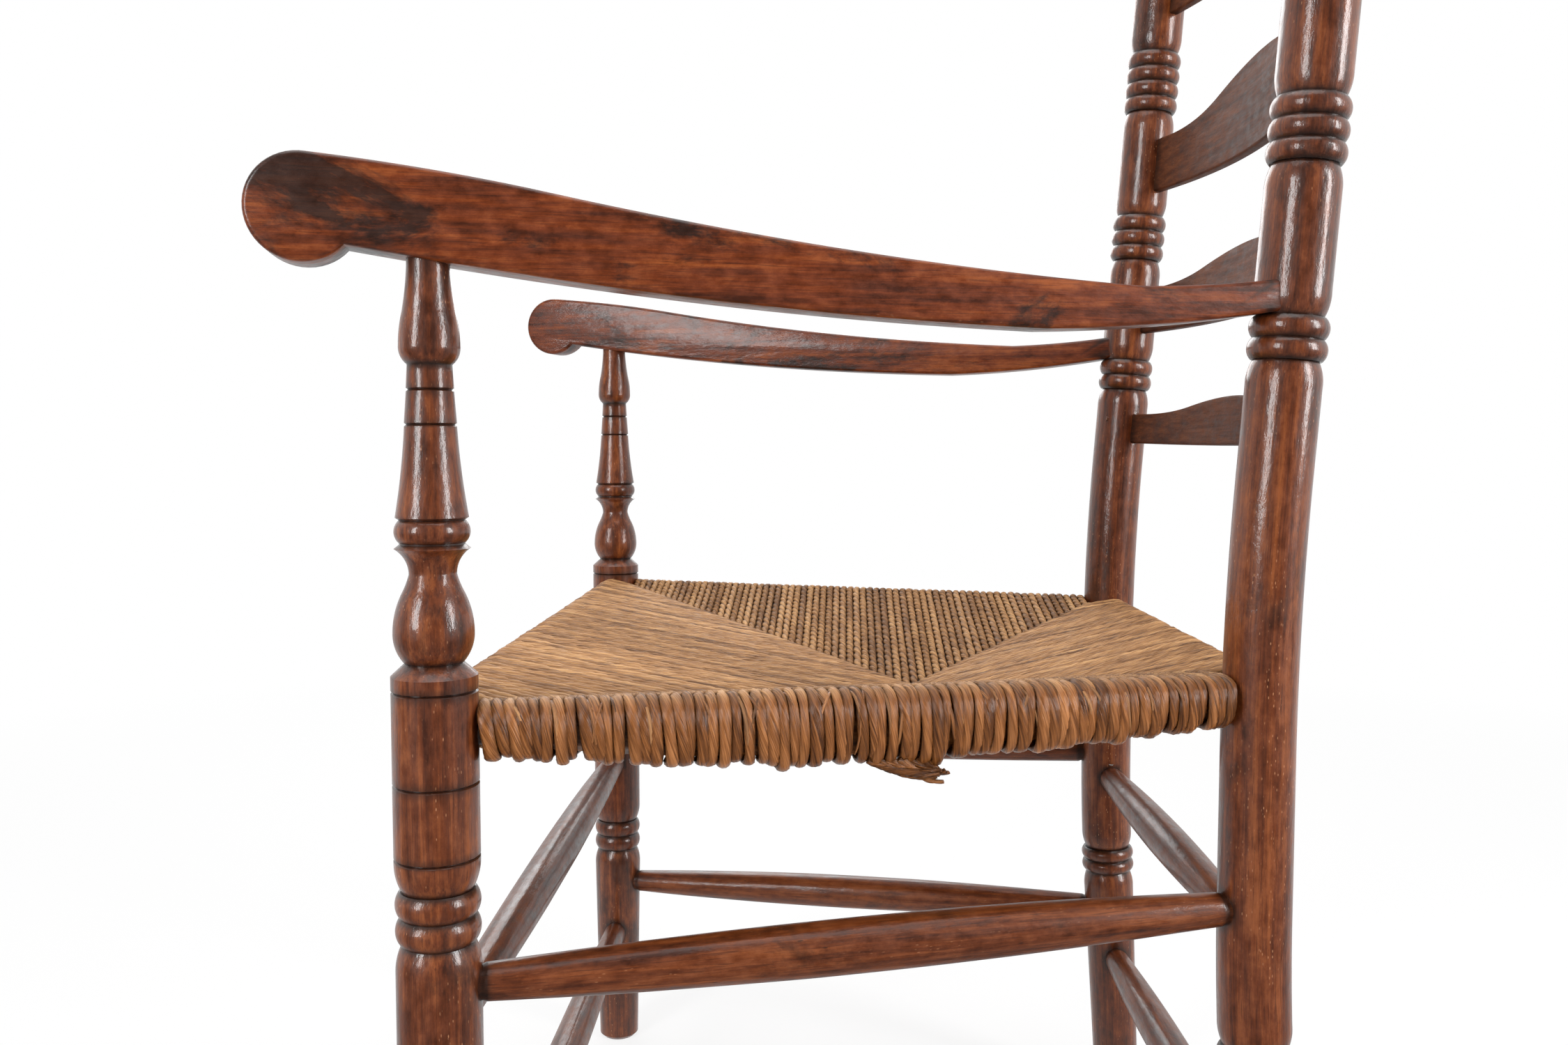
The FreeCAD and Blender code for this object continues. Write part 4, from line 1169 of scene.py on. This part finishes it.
@dataclass
class Arms:
    """The two arm boards with their scrolled noses, in millimetres from the front post."""

    finish: bpy.types.Material
    thickness: float = 25.0
    nose_radius: float = 25.0
    nose_reach: float = 55.0
    nose_rise: float = 220.0
    nose_top: float = 83.0
    nose_notch: float = -42.0
    join_rise: float = 191.0
    end_inset: float = 6.0
    ease: float = 3.5

    def plan(self) -> tuple[float, float]:
        """The plan length between the two posts' axes, and the slant in radians."""
        across = LAYOUT.front_half - LAYOUT.back_half
        back = LAYOUT.back_post_at(LAYOUT.collar + self.join_rise)
        return math.hypot(across, back), math.atan2(across, back)

    def corners(self) -> list[Corner]:
        """The board's outline, seen from its side."""
        run = self.plan()[0] - self.end_inset
        radius = self.nose_radius
        top = math.radians(self.nose_top)
        notch = math.radians(self.nose_notch)
        head, chin = ((-self.nose_reach + radius * math.cos(angle),
                       self.nose_rise + radius * math.sin(angle)) for angle in (top, notch))
        round_out = radius * (1 - math.cos(math.pi - (top - notch) / 2))
        return [Corner(chin[0], chin[1], 5.5), Corner(307.0, 171.5, 2.5),
                Corner(run, 184.6), Corner(run, 201.3, -1.25), Corner(360.0, 194.6, -5.0),
                Corner(51.0, 231.5, 1.2), Corner(head[0], head[1], round_out)]

    def build(self) -> None:
        """Saw, ease, place and dress both arms."""
        run, slant = self.plan()
        corners = self.corners()
        points = []
        for start, finish in zip(corners, corners[1:] + corners[:1]):
            points += arc_steps(start, finish, 3.0 if start.bulge else 6.0)
        half = self.thickness / 2 * MM
        vertices = [(along * MM, -half, rise * MM) for along, rise in points]
        for side in Side:
            piece = adopt("shaped_arm_" + side.word, vertices, [],
                          [list(range(len(vertices)))])
            with editing():
                bpy.ops.mesh.extrude_region_move(
                    TRANSFORM_OT_translate={"value": (0, 2 * half, 0)})
            tidy()
            ease_edges(piece, self.ease, 4, 60.0)
            shift = Vector((side.value * 0.4 + 2.0, 0.3, 0.7))
            record_board(piece, shift, (run - LAYOUT.back_post_radius) * MM)
            swing = Matrix.Rotation(math.pi / 2 + slant * side.value, 4, "Z")
            base = LAYOUT.place(side.value * LAYOUT.front_half, 0, LAYOUT.collar)
            piece.data.transform(Matrix.Translation(base) @ swing)
            smooth(piece, 35.0)
            dress(piece, "arm_wood", self.finish, "arm_" + side.word)


@dataclass
class Station:
    """One place along a cord: its centre, the way out, its half sizes, age and twist.

    The lay is the length in millimetres over which the cord's plies turn once.
    """

    point: Vector
    out: Vector
    wide: float
    thick: float
    age: float
    lay: float = TIGHT_LAY

    def towards(self, other: "Station", share: float) -> "Station":
        """A station part of the way to another."""
        keep = 1 - share
        return Station(self.point.lerp(other.point, share),
                       self.out.lerp(other.out, share).normalized(),
                       self.wide * keep + other.wide * share,
                       self.thick * keep + other.thick * share,
                       self.age * keep + other.age * share, self.lay)


@dataclass
class CordBody:
    """The skin of many two-ply cords on its way to being one piece."""

    sides: int = 10
    crease: float = 0.34
    vertices: list = field(default_factory=list)
    faces: list = field(default_factory=list)
    fibre: list = field(default_factory=list)
    tone: list = field(default_factory=list)
    age: list = field(default_factory=list)
    recess: list = field(default_factory=list)

    def sweep(self, stations: list[Station], seed: int, closed: bool = True) -> None:
        """Add the skin of one twisted cord.

        Args:
            stations: The places that the cord passes.
            seed: Chooses its unevenness.
            closed: True where its end joins its start.
        """
        count = len(stations)
        base = len(self.vertices)
        chance = random.Random(seed)
        tone = chance.uniform(0.1, 0.9)
        steps = [(after.point - station.point).length
                 for station, after in zip(stations, stations[1:] + stations[:1])]
        total = sum(step / station.lay for step, station in zip(steps, stations))
        even = max(1, round(total)) / total if closed else 1.0
        twist = 0.0
        far = 0.0
        for index, station in enumerate(stations):
            after = stations[(index + 1) % count if closed else min(index + 1, count - 1)]
            before = stations[index - 1 if closed else max(index - 1, 0)]
            ahead = (after.point - before.point).normalized()
            sideways = ahead.cross(station.out).normalized()
            out = sideways.cross(ahead)
            swell = 1 + 0.16 * noise.noise(Vector((far * 0.06, seed * 1.7, 0.0)))
            drift = noise.noise(Vector((far * 0.02, seed * 0.9, 4.0)))
            self.ring(station, sideways * swell, out * swell, twist, far, seed)
            self.tone += [tone + drift * 0.5] * self.sides
            twist += steps[index] / station.lay * even * 2 * math.pi
            far += steps[index]
        for index in range(count if closed else count - 1):
            low = base + index * self.sides
            high = base + ((index + 1) % count) * self.sides
            for side in range(self.sides):
                beside = (side + 1) % self.sides
                self.faces.append((low + side, low + beside, high + beside, high + side))
        if not closed:
            top = base + (count - 1) * self.sides
            self.faces.append(tuple(range(base + self.sides - 1, base - 1, -1)))
            self.faces.append(tuple(range(top, top + self.sides)))

    def ring(self, station: Station, sideways: Vector, out: Vector, twist: float, far: float,
             seed: int) -> None:
        """Add one ring of points, with its fibre, age, and painted shade and dirt.

        Args:
            station: Where the ring lies.
            sideways: Its way across, as long as its swell.
            out: Its way out, as long as its swell.
            twist: How far its plies have turned, in radians.
            far: How far along the cord it lies, in millimetres.
            seed: Chooses the fibre's pattern.
        """
        tight = min(1.0, TIGHT_LAY / station.lay)
        for side in range(self.sides):
            own = 2 * math.pi * (side + 0.5) / self.sides
            angle = own + twist
            deep = 1 - abs(math.cos(own))
            reach = 1 - self.crease * deep * tight
            across = math.cos(angle) * reach * station.wide
            up = math.sin(angle) * reach * station.thick
            point = station.point + sideways * across + out * up
            self.vertices.append(tuple(LAYOUT.place(*point)))
            self.fibre += [math.cos(own) * 0.003, math.sin(own) * 0.003,
                           far * MM + seed * 0.77]
            self.age.append(station.age)
            # Painted shade, with some dirt: darker where the cord's sides meet its neighbours and
            # in the crease between its plies.
            beside = abs(math.cos(angle)) ** (10 - 5 * station.age)
            ply = 0.6 * deep ** 3 * tight
            self.recess.append(min(1.0, (0.45 + 0.35 * station.age) * beside + ply))

    def finish(self, name: str, material: bpy.types.Material) -> None:
        """Turn the skin into a smooth piece that stands for the seat's solid."""
        piece = adopt(name, self.vertices, [], self.faces)
        for word in ("fibre", "tone", "age", "recess"):
            write_values(piece, word, getattr(self, word))
        with editing():
            bpy.ops.mesh.normals_make_consistent(inside=False)
        smooth(piece, 75.0)
        dress(piece, "rush", material, "rush_seat")


@dataclass
class Rail:
    """One side of the woven seat: its two ends and its wrap, in millimetres.

    Tops are measured down from the collar. Half height and half width are those of the
    rush round the rail, and the hang is how much lower the wrap reaches in its middle.
    """

    start: tuple[float, float]
    finish: tuple[float, float]
    start_top: float
    finish_top: float
    half_height: float
    half_width: float
    hang: float = 8.0
    ragged: float = 0.25
    post_gap: float = 22.0
    steps: int = 12

    def length(self) -> float:
        """The plan length of the rail between post axes."""
        return math.dist(self.start, self.finish)

    def along(self) -> Vector:
        """The way from its start to its finish."""
        return Vector((self.finish[0] - self.start[0], self.finish[1] - self.start[1],
                       0)).normalized()

    def away(self) -> Vector:
        """The level way out of the seat."""
        return self.along().cross(UP)

    def tall(self, share: float) -> float:
        """Half the height of the wrap at a share of the rail."""
        return self.half_height + self.hang * math.sin(math.pi * share) ** 1.1 / 2

    def point(self, share: float) -> Vector:
        """The middle of the wrap at a share of the rail."""
        across = self.start[0] + (self.finish[0] - self.start[0]) * share
        back = self.start[1] + (self.finish[1] - self.start[1]) * share
        top = self.start_top + (self.finish_top - self.start_top) * share
        return Vector((across, back, LAYOUT.collar - top - self.tall(share)))

    def skin(self, share: float, degrees: float, proud: float) -> tuple[Vector, Vector]:
        """A point on the wrap and the way out there.

        Args:
            share: The share of the rail's length.
            degrees: The way round the wrap: 90 on top, 0 outermost and -90 below.
            proud: Millimetres over the cords' middle line.

        Returns:
            The point and its outward direction.
        """
        angle = math.radians(degrees)
        out = math.copysign(abs(math.cos(angle)) ** 0.75, math.cos(angle))
        rise = math.copysign(abs(math.sin(angle)) ** 0.75, math.sin(angle))
        point = self.point(share) + self.away() * (out * (self.half_width + proud))
        point += UP * (rise * (self.tall(share) - 2.0 + proud))
        return point, self.away() * math.cos(angle) + UP * math.sin(angle)

    def wrap(self, share: float, chance: random.Random) -> list[Station]:
        """The stations of one cord round the outside of the rail, from above to below.

        Args:
            share: Where the cord crosses the rail.
            chance: The source of this cord's unevenness.

        Returns:
            Stations from the top of the wrap to its underside.
        """
        slope = (3.5 - 6.0 * share) if self.start[1] < self.finish[1] else (6.0 * share - 2.5)
        lean = (slope + chance.uniform(-2.6, 2.6)) * self.ragged
        drop = chance.uniform(-0.7, 0.8) * self.ragged
        if chance.random() < 0.1:
            drop += 2.2 * self.ragged
        proud = chance.uniform(-0.7, 1.0) * self.ragged
        broader = chance.uniform(-0.2, 1.4) * self.ragged
        flatter = chance.uniform(0.2, 0.9) * self.ragged
        stations = []
        for index in range(self.steps + 1):
            degrees = 95 - index * 190 / self.steps
            down = (1 - math.sin(math.radians(degrees))) / 2
            point, normal = self.skin(share, degrees, proud * down)
            point += self.along() * (lean * down) - UP * (drop * down)
            bulge = min(1.0, index / 3)
            stations.append(Station(point, normal.normalized(), CORD_WIDE + broader * bulge,
                                    CORD_THICK - flatter * bulge,
                                    bulge * (0.4 + 0.6 * self.ragged)))
        return stations

    def stray(self, share: float, chance: random.Random) -> list[Station]:
        """The stations of a loose blade that lies aslant over the cords of the wrap.

        Args:
            share: Where it starts, as a share of the rail's length.
            chance: The source of its unevenness.

        Returns:
            Stations from its upper end to its lower one.
        """
        high = chance.uniform(70, 100)
        low = chance.uniform(-60, 10)
        slant = chance.uniform(3.0, 10.0) / self.length()
        slant *= -1 if chance.random() < 0.25 else 1
        wide = chance.uniform(0.7, 1.3)
        age = chance.uniform(0.45, 1.0)
        stations = []
        for index in range(15):
            part = index / 14
            taper = math.sin(math.pi * min(1.0, 0.06 + part * 0.9)) ** 0.4
            point, out = self.skin(share + slant * part, high + (low - high) * part,
                                   1.7 * taper - 0.4)
            stations.append(Station(point, out.normalized(), wide * taper, 0.5 * taper, age,
                                    90.0))
        return stations

    def tail(self, share: float, run: float, fall: float, chance: random.Random
             ) -> list[Station]:
        """The stations of a loose end that hangs under the wrap in a shallow loop.

        Args:
            share: Where it starts, as a share of the rail's length.
            run: How far it goes along the rail, in millimetres.
            fall: How far it hangs below the wrap.
            chance: The source of its unevenness.

        Returns:
            Stations from under the wrap to the loose end.
        """
        start, _ = self.skin(share, -60.0, 1.0)
        middle, _ = self.skin(share + run * 0.6 / self.length(), -80.0, 1.5)
        finish, _ = self.skin(share + run / self.length(), -45.0, 3.0)
        middle.z -= fall
        finish.z -= fall * chance.uniform(0.6, 1.4)
        finish += self.away() * chance.uniform(-2.0, 4.0)
        wide = chance.uniform(1.6, 2.9)
        stations = []
        for index in range(17):
            part = index / 16
            point = start.lerp(middle, part).lerp(middle.lerp(finish, part), part)
            taper = 0.55 + 0.45 * math.sin(math.pi * min(1.0, part + 0.15))
            stations.append(Station(point, self.away(), wide * taper, wide * 0.7 * taper, 1.0,
                                    30.0))
        return stations


@dataclass
class RushSeat:
    """The woven seat: each cord runs over one rail, turns at the seam and over the next."""

    finish: bpy.types.Material
    wood: bpy.types.Material
    front_cords: int = 42
    back_cords: int = 27
    apex: tuple[float, float] = (0.0, 250.0)
    top_drops: tuple[float, float] = (13.0, 57.0)
    low_drops: tuple[float, float] = (36.0, 77.0)
    step: float = 2.5
    loose_step: float = 6.0
    lay: float = 21.0
    loose_lay: float = 100.0
    smooth_lay: float = 70.0
    strays: int = 40
    tails: int = 11
    tail_start: float = 0.485
    tail_spacing: float = 0.0075
    tail_run: float = 36.0
    tail_taper: float = 2.8

    def rails(self) -> dict[str, Rail]:
        """The four rails in order round the seat, each from where the last one ends."""
        front = LAYOUT.front_half
        back = LAYOUT.back_half
        deep = LAYOUT.depth
        side = {"half_height": 13.2, "half_width": 12.5, "hang": 13.0, "ragged": 1.0,
                "post_gap": 20.0}
        return {"front": Rail((-front, 0), (front, 0), 9.0, 9.0, 12.0, 8.0),
                "left": Rail((front, 0), (back, deep), 11.0, 14.0, **side),
                "back": Rail((back, deep), (-back, deep), 14.0, 14.0, 12.5, 8.0),
                "right": Rail((-back, deep), (-front, 0), 14.0, 11.0, **side)}

    def share(self, rail: Rail, order: float, count: int, from_finish: bool) -> float:
        """How far along a rail a cord crosses it.

        Args:
            rail: The rail that the cord goes round.
            order: The cord's place in the count from the corner, to its middle.
            count: How many cords the whole rail carries.
            from_finish: True where the corner is at the rail's far end.

        Returns:
            The share of the rail's length from its start.
        """
        usable = rail.length() - 2 * rail.post_gap
        share = (rail.post_gap + order * usable / count) / rail.length()
        return 1 - share if from_finish else share

    def seam(self, corner: tuple[float, float], travel: float, top: bool) -> Station:
        """Where a cord turns at the seam between two sections.

        Args:
            corner: The post that the seam starts from.
            travel: How far along the seam, from the post to the middle of the seat.
            top: True for the upper layer.

        Returns:
            The station of the cord at its turn.
        """
        across = corner[0] + (self.apex[0] - corner[0]) * travel
        back = corner[1] + (self.apex[1] - corner[1]) * travel
        first, last = self.top_drops if top else self.low_drops
        point = Vector((across, back, LAYOUT.collar - first - (last - first) * travel))
        if top:
            return Station(point, UP, 3.05, 2.6, 0.0)
        return Station(point, -UP, 2.8, 2.4, 0.5)

    def route(self, chance: random.Random, seam_top: Station, seam_low: Station,
              first: list[Station], second: list[Station]) -> list[Station]:
        """One closed turn: over the first rail, along below, and back over the second.

        Args:
            chance: The source of the cord's unevenness.
            seam_top: Its turn at the seam of the upper layer.
            seam_low: Its turn at the seam of the lower layer.
            first: Its wrap round the first rail.
            second: Its wrap round the second rail.

        Returns:
            The stations of the whole turn.
        """
        twisted = self.lay * chance.uniform(0.85, 1.2)
        smooth_lay = self.smooth_lay * chance.uniform(0.8, 1.3)
        lays = [smooth_lay] * len(first) + [self.loose_lay] * 2 + [smooth_lay] * (
            len(second) - 1) + [twisted]
        corners = [seam_top] + first + [seam_low] + second[::-1]
        stations = []
        for number, (start, finish) in enumerate(zip(corners, corners[1:] + corners[:1])):
            under = number in (len(first), len(first) + 1)
            step = self.loose_step if under else self.step
            count = max(1, round((finish.point - start.point).length / step))
            for index in range(count):
                station = start.towards(finish, index / count)
                station.lay = lays[number]
                station.point.z += chance.uniform(-0.2, 0.2)
                stations.append(station)
        return stations

    def build(self) -> None:
        """Weave the four corners, then add the loose blades, the rails and the packing."""
        rails = self.rails()
        side_count = self.front_cords + self.back_cords
        plan = (("front", "left", True), ("front", "right", False),
                ("back", "left", False), ("back", "right", True))
        for number, (end_word, side_word, end_far) in enumerate(plan):
            end_rail = rails[end_word]
            side_rail = rails[side_word]
            cords = self.front_cords if end_word == "front" else self.back_cords
            corner = end_rail.finish if end_far else end_rail.start
            body = CordBody()
            for order in range(cords):
                seed = number * 100 + order
                chance = random.Random(seed * 7 + 1)
                end_share = self.share(end_rail, order + 0.5, 2 * cords, end_far)
                side_share = self.share(side_rail, order + 0.5, side_count, not end_far)
                travel = abs(end_rail.point(end_share).x - corner[0]) / abs(corner[0])
                stations = self.route(chance, self.seam(corner, travel, True),
                                      self.seam(corner, travel, False),
                                      end_rail.wrap(end_share, chance),
                                      side_rail.wrap(side_share, chance))
                body.sweep(stations, seed)
            body.finish("rush_%s_%s" % (end_word, side_word), self.finish)
        self.loose(rails)
        self.hidden_rails()
        self.pack(rails)

    def loose(self, rails: dict[str, Rail]) -> None:
        """Lay loose blades over the two side wraps, and hang a few ends under the left."""
        for number, word in enumerate(("left", "right")):
            rail = rails[word]
            body = CordBody(sides=6, crease=0.1)
            for order in range(self.strays):
                chance = random.Random(900 + number * 200 + order)
                share = 0.06 + 0.86 * (order + chance.uniform(0, 1)) / self.strays
                body.sweep(rail.stray(share, chance), 900 + order, closed=False)
            if word == "left":
                for order in range(self.tails):
                    chance = random.Random(1400 + order)
                    share = self.tail_start + self.tail_spacing * order
                    run = self.tail_run - self.tail_taper * order
                    body.sweep(rail.tail(share, run, chance.uniform(7.0, 13.0), chance),
                               1400 + order, closed=False)
            body.finish("rush_blades_" + word, self.finish)

    def hidden_rails(self) -> None:
        """Turn the slim rails that the rush hides."""
        turner = Turner(steps=16, longest=30.0)
        front = LAYOUT.front_half
        back = LAYOUT.back_half
        runs = {"front": ((-front, 0, 14.0), (front, 0, 14.0), 4.5),
                "back": ((-back, 1, 20.0), (back, 1, 20.0), 4.5),
                "left": ((front, 0, 27.0), (back, 1, 34.0), 5.5),
                "right": ((-front, 0, 27.0), (-back, 1, 34.0), 5.5)}
        for number, (word, (first, second, radius)) in enumerate(runs.items()):
            ends = []
            for across, rear, drop in (first, second):
                height = LAYOUT.collar - drop
                deep = LAYOUT.back_post_at(height) if rear else 0.0
                ends.append(LAYOUT.place(across, deep, height))
            half = (ends[1] - ends[0]).length / MM / 2
            corners = [Corner(0, -half), Corner(radius, -half), Corner(radius, half),
                       Corner(0, half)]
            piece = turner.turn("turned_%s_seat_rail" % word, corners, 40 + number)
            hollows(piece, [])
            lay_between(piece, *ends)
            smooth(piece, 60.0)
            dress(piece, "rail_wood", self.wood, word + "_seat_rail")

    def pack(self, rails: dict[str, Rail]) -> None:
        """Line the wraps and fill the space between the two layers with loose rush."""
        body = CordBody(sides=6, crease=0.0)
        for number, rail in enumerate(rails.values()):
            stations = []
            for index in range(rail.steps + 1):
                share = 0.05 + 0.9 * index / rail.steps
                centre = rail.point(share) - rail.away() * 2.0
                stations.append(Station(centre, UP, rail.half_width - 2.5,
                                        rail.tall(share) - 4.0, 1.0, 1e6))
            body.sweep(stations, 60 + number, closed=False)
        posts = [rails[word].start for word in ("front", "left", "back", "right")]
        rim = [Vector((across, back, LAYOUT.collar - 25.0)) for across, back in posts]
        high = Vector((*self.apex, LAYOUT.collar - self.top_drops[1] - 5.0))
        low = Vector((*self.apex, LAYOUT.collar - self.low_drops[1] + 5.0))
        inner = [point.lerp(high, 0.1) for point in rim]
        points = [point + UP * 6 for point in inner] + [point - UP * 8 for point in inner]
        base = len(body.vertices)
        for point in points + [high, low]:
            place = LAYOUT.place(*point)
            body.vertices.append(tuple(place))
            body.fibre += list(place)
            body.tone.append(0.0)
            body.age.append(1.0)
            # The packing inside the seat is darkened with painted shade.
            body.recess.append(0.6)
        for index in range(4):
            after = (index + 1) % 4
            body.faces += [(base + index, base + after, base + 8),
                           (base + after + 4, base + index + 4, base + 9),
                           (base + index + 4, base + after + 4, base + after, base + index)]
        body.finish("rush_packing", self.finish)


def lay_floor() -> None:
    """Lay the pale floor, white to the camera far from the chair and in the gloss.

    The gloss sees it dimmer on the camera's side, as in a dark room.
    """
    deselect()
    bpy.ops.mesh.primitive_plane_add(size=14)
    floor = bpy.context.object
    floor.name = "studio_floor"
    paper = Shader("studio_paper")
    paper.surface.inputs["Base Color"].default_value = (0.92, 0.92, 0.92, 1.0)
    paper.surface.inputs["Roughness"].default_value = 1.0
    paper.surface.inputs["Specular IOR Level"].default_value = 0.0
    glow = paper.add("ShaderNodeEmission")
    path = paper.add("ShaderNodeLightPath").outputs
    place = paper.add("ShaderNodeTexCoord").outputs["Object"]
    far = paper.add("ShaderNodeVectorMath", operation="LENGTH")
    paper.link(place, far.inputs[0])
    camera = paper.math("MULTIPLY", path["Is Camera Ray"],
                        paper.span(far.outputs["Value"], 0.6, 2.4, 0.8, 1.0))
    mirror = paper.math("MAXIMUM", path["Is Glossy Ray"], path["Is Transmission Ray"])
    parts = paper.add("ShaderNodeSeparateXYZ")
    paper.link(place, parts.inputs[0])
    sweep = paper.span(parts.outputs[0], -0.3, 0.5, 0.85, ROOM_LEVEL)
    paper.link(paper.mix(mirror, (1.0, 1.0, 1.0), sweep), glow.inputs["Color"])
    blend = paper.add("ShaderNodeMixShader")
    for index, source in enumerate((paper.math("MAXIMUM", camera, mirror),
                                    paper.surface.outputs[0], glow.outputs[0])):
        paper.link(source, blend.inputs[index])
    paper.link(blend.outputs[0], paper.output.inputs[0])
    floor.data.materials.append(paper.material)


def hang_backdrop() -> None:
    """Light the scene plainly, and show white to the camera.

    The gloss sees white behind the chair and a dark room on the camera's side.
    """
    world = bpy.data.worlds.new("studio_world")
    bpy.context.scene.world = world
    world.use_nodes = True
    tree = world.node_tree
    air = tree.nodes["Background"]
    air.inputs["Color"].default_value = (1.0, 1.0, 1.0, 1.0)
    path = tree.nodes.new("ShaderNodeLightPath")
    parts = tree.nodes.new("ShaderNodeSeparateXYZ")
    place = tree.nodes.new("ShaderNodeTexCoord")
    tree.links.new(place.outputs["Generated"], parts.inputs[0])
    sweep = tree.nodes.new("ShaderNodeMapRange")
    for word, value in (("From Min", -0.15), ("From Max", 0.35), ("To Min", 1.0),
                        ("To Max", ROOM_LEVEL)):
        sweep.inputs[word].default_value = value
    tree.links.new(parts.outputs[0], sweep.inputs["Value"])
    level = AIR_LEVEL
    for ray, shown in (("Is Glossy Ray", sweep.outputs["Result"]),
                       ("Is Transmission Ray", 1.0), ("Is Camera Ray", 1.0)):
        mix = tree.nodes.new("ShaderNodeMix")
        tree.links.new(path.outputs[ray], mix.inputs["Factor"])
        for word, item in (("A", level), ("B", shown)):
            if isinstance(item, float):
                mix.inputs[word].default_value = item
            else:
                tree.links.new(item, mix.inputs[word])
        level = mix.outputs["Result"]
    tree.links.new(level, air.inputs["Strength"])


def aim(name: str, data: object, place: Vector, ahead: Vector) -> bpy.types.Object:
    """Put a lamp or a camera at its place.

    Args:
        name: The object's name.
        data: The lamp's or the camera's own settings.
        place: Where it stands, in metres.
        ahead: The way that it looks.

    Returns:
        The placed object.
    """
    holder = bpy.data.objects.new(name, data)
    bpy.context.scene.collection.objects.link(holder)
    holder.location = place
    holder.rotation_euler = ahead.to_track_quat("-Z", "Y").to_euler()
    return holder


@dataclass(frozen=True)
class SoftBox:
    """A soft lamp aimed at the chair's middle: its place and size in metres, and its watts."""

    name: str
    place: tuple[float, float, float]
    size: tuple[float, float]
    power: float
    target: tuple[float, float, float] = (0.0, 0.0, 0.55)

    def hang(self) -> None:
        """Make the lamp."""
        lamp = bpy.data.lights.new(self.name, "AREA")
        lamp.shape = "RECTANGLE"
        lamp.size, lamp.size_y = self.size
        lamp.energy = self.power
        place = Vector(self.place)
        aim(self.name, lamp, place, Vector(self.target) - place)


SOFT_BOXES = (SoftBox("left_softbox", (1.75, -1.45, 1.15), (0.5, 1.3), 34.0),
              SoftBox("right_softbox", (0.95, 1.75, 1.05), (0.45, 1.2), 33.0),
              SoftBox("top_softbox", (0.3, 0.0, 2.7), (2.2, 2.2), 34.0),
              SoftBox("back_softbox", (-2.2, -0.4, 1.6), (1.4, 1.4), 20.0))


@dataclass(frozen=True)
class PhotoCamera:
    """The camera that matches the picture, with its place on X and Z in metres."""

    across: float = 0.897
    behind_front_line: float = 0.181
    height: float = 0.5518
    yaw: float = -1.26
    pitch: float = -3.42
    lens: float = 29.7

    def build(self) -> None:
        """Place the camera and look across the chair from the sitter's left."""
        data = bpy.data.cameras.new("picture_camera")
        data.lens = self.lens
        data.sensor_width = 36.0
        data.clip_start = 0.02
        yaw = math.radians(self.yaw)
        pitch = math.radians(self.pitch)
        flat = Vector((-math.cos(yaw), math.sin(yaw), 0.0))
        place = Vector((self.across, self.behind_front_line + LAYOUT.front_line * MM,
                        self.height))
        bpy.context.scene.camera = aim("picture_camera", data, place,
                                       flat * math.cos(pitch) + UP * math.sin(pitch))


def clear_start() -> None:
    """Remove the cube, lamp and camera that a fresh file may hold."""
    for name in ("Cube", "Light", "Camera"):
        if name in bpy.data.objects:
            bpy.data.objects.remove(bpy.data.objects[name])


def main() -> None:
    """Build every piece in order, then the studio and the camera."""
    logging.basicConfig(level=logging.INFO, format="%(message)s")
    clear_start()
    bpy.context.scene.view_settings.view_transform = "Standard"
    posts = WoodFinish("post_wood", (0.042, 0.0085, 0.0015), (0.118, 0.025, 0.0042),
                       (0.23, 0.060, 0.012)).make()
    slats = WoodFinish("slat_wood", (0.035, 0.009, 0.003), (0.085, 0.024, 0.008),
                       (0.14, 0.044, 0.016), roughness=0.55, varnish=0.03, sheen=0.15, flecks=0.3,
                       stain=0.3).make()
    arms = WoodFinish("arm_wood", (0.044, 0.008, 0.001), (0.13, 0.023, 0.0024),
                      (0.24, 0.055, 0.0075), varnish=0.25, flecks=0.25, dashes=0.9,
                      stain=0.85, stain_from=0.53).make()
    rods = WoodFinish("stretcher_wood", (0.040, 0.008, 0.0015), (0.115, 0.025, 0.004),
                      (0.20, 0.053, 0.012), varnish=0.3, flecks=0.3, dashes=0.8).make()
    hidden = WoodFinish("rail_wood", (0.05, 0.02, 0.01), (0.12, 0.05, 0.025),
                        (0.2, 0.09, 0.045), roughness=0.5, flecks=0.2).make()
    pegs = WoodFinish("peg_wood", (0.045, 0.012, 0.004), (0.12, 0.035, 0.012),
                      (0.2, 0.065, 0.024), grain=Grain.ALONG_Y).make()
    finish_node("slat_pegs", pegs)
    finish_node("stretcher_nail", SteelFinish().make())
    stretchers = Stretchers(rods)
    joints = stretchers.joints()
    FrontPosts(posts).build(joints)
    BackPosts(posts).build(joints)
    stretchers.build()
    Slats(slats).build()
    Arms(arms).build()
    RushSeat(RushFinish().make(), hidden).build()
    lay_floor()
    for lamp in SOFT_BOXES:
        lamp.hang()
    hang_backdrop()
    PhotoCamera().build()
    deselect()


if __name__ == "__main__":
    main()
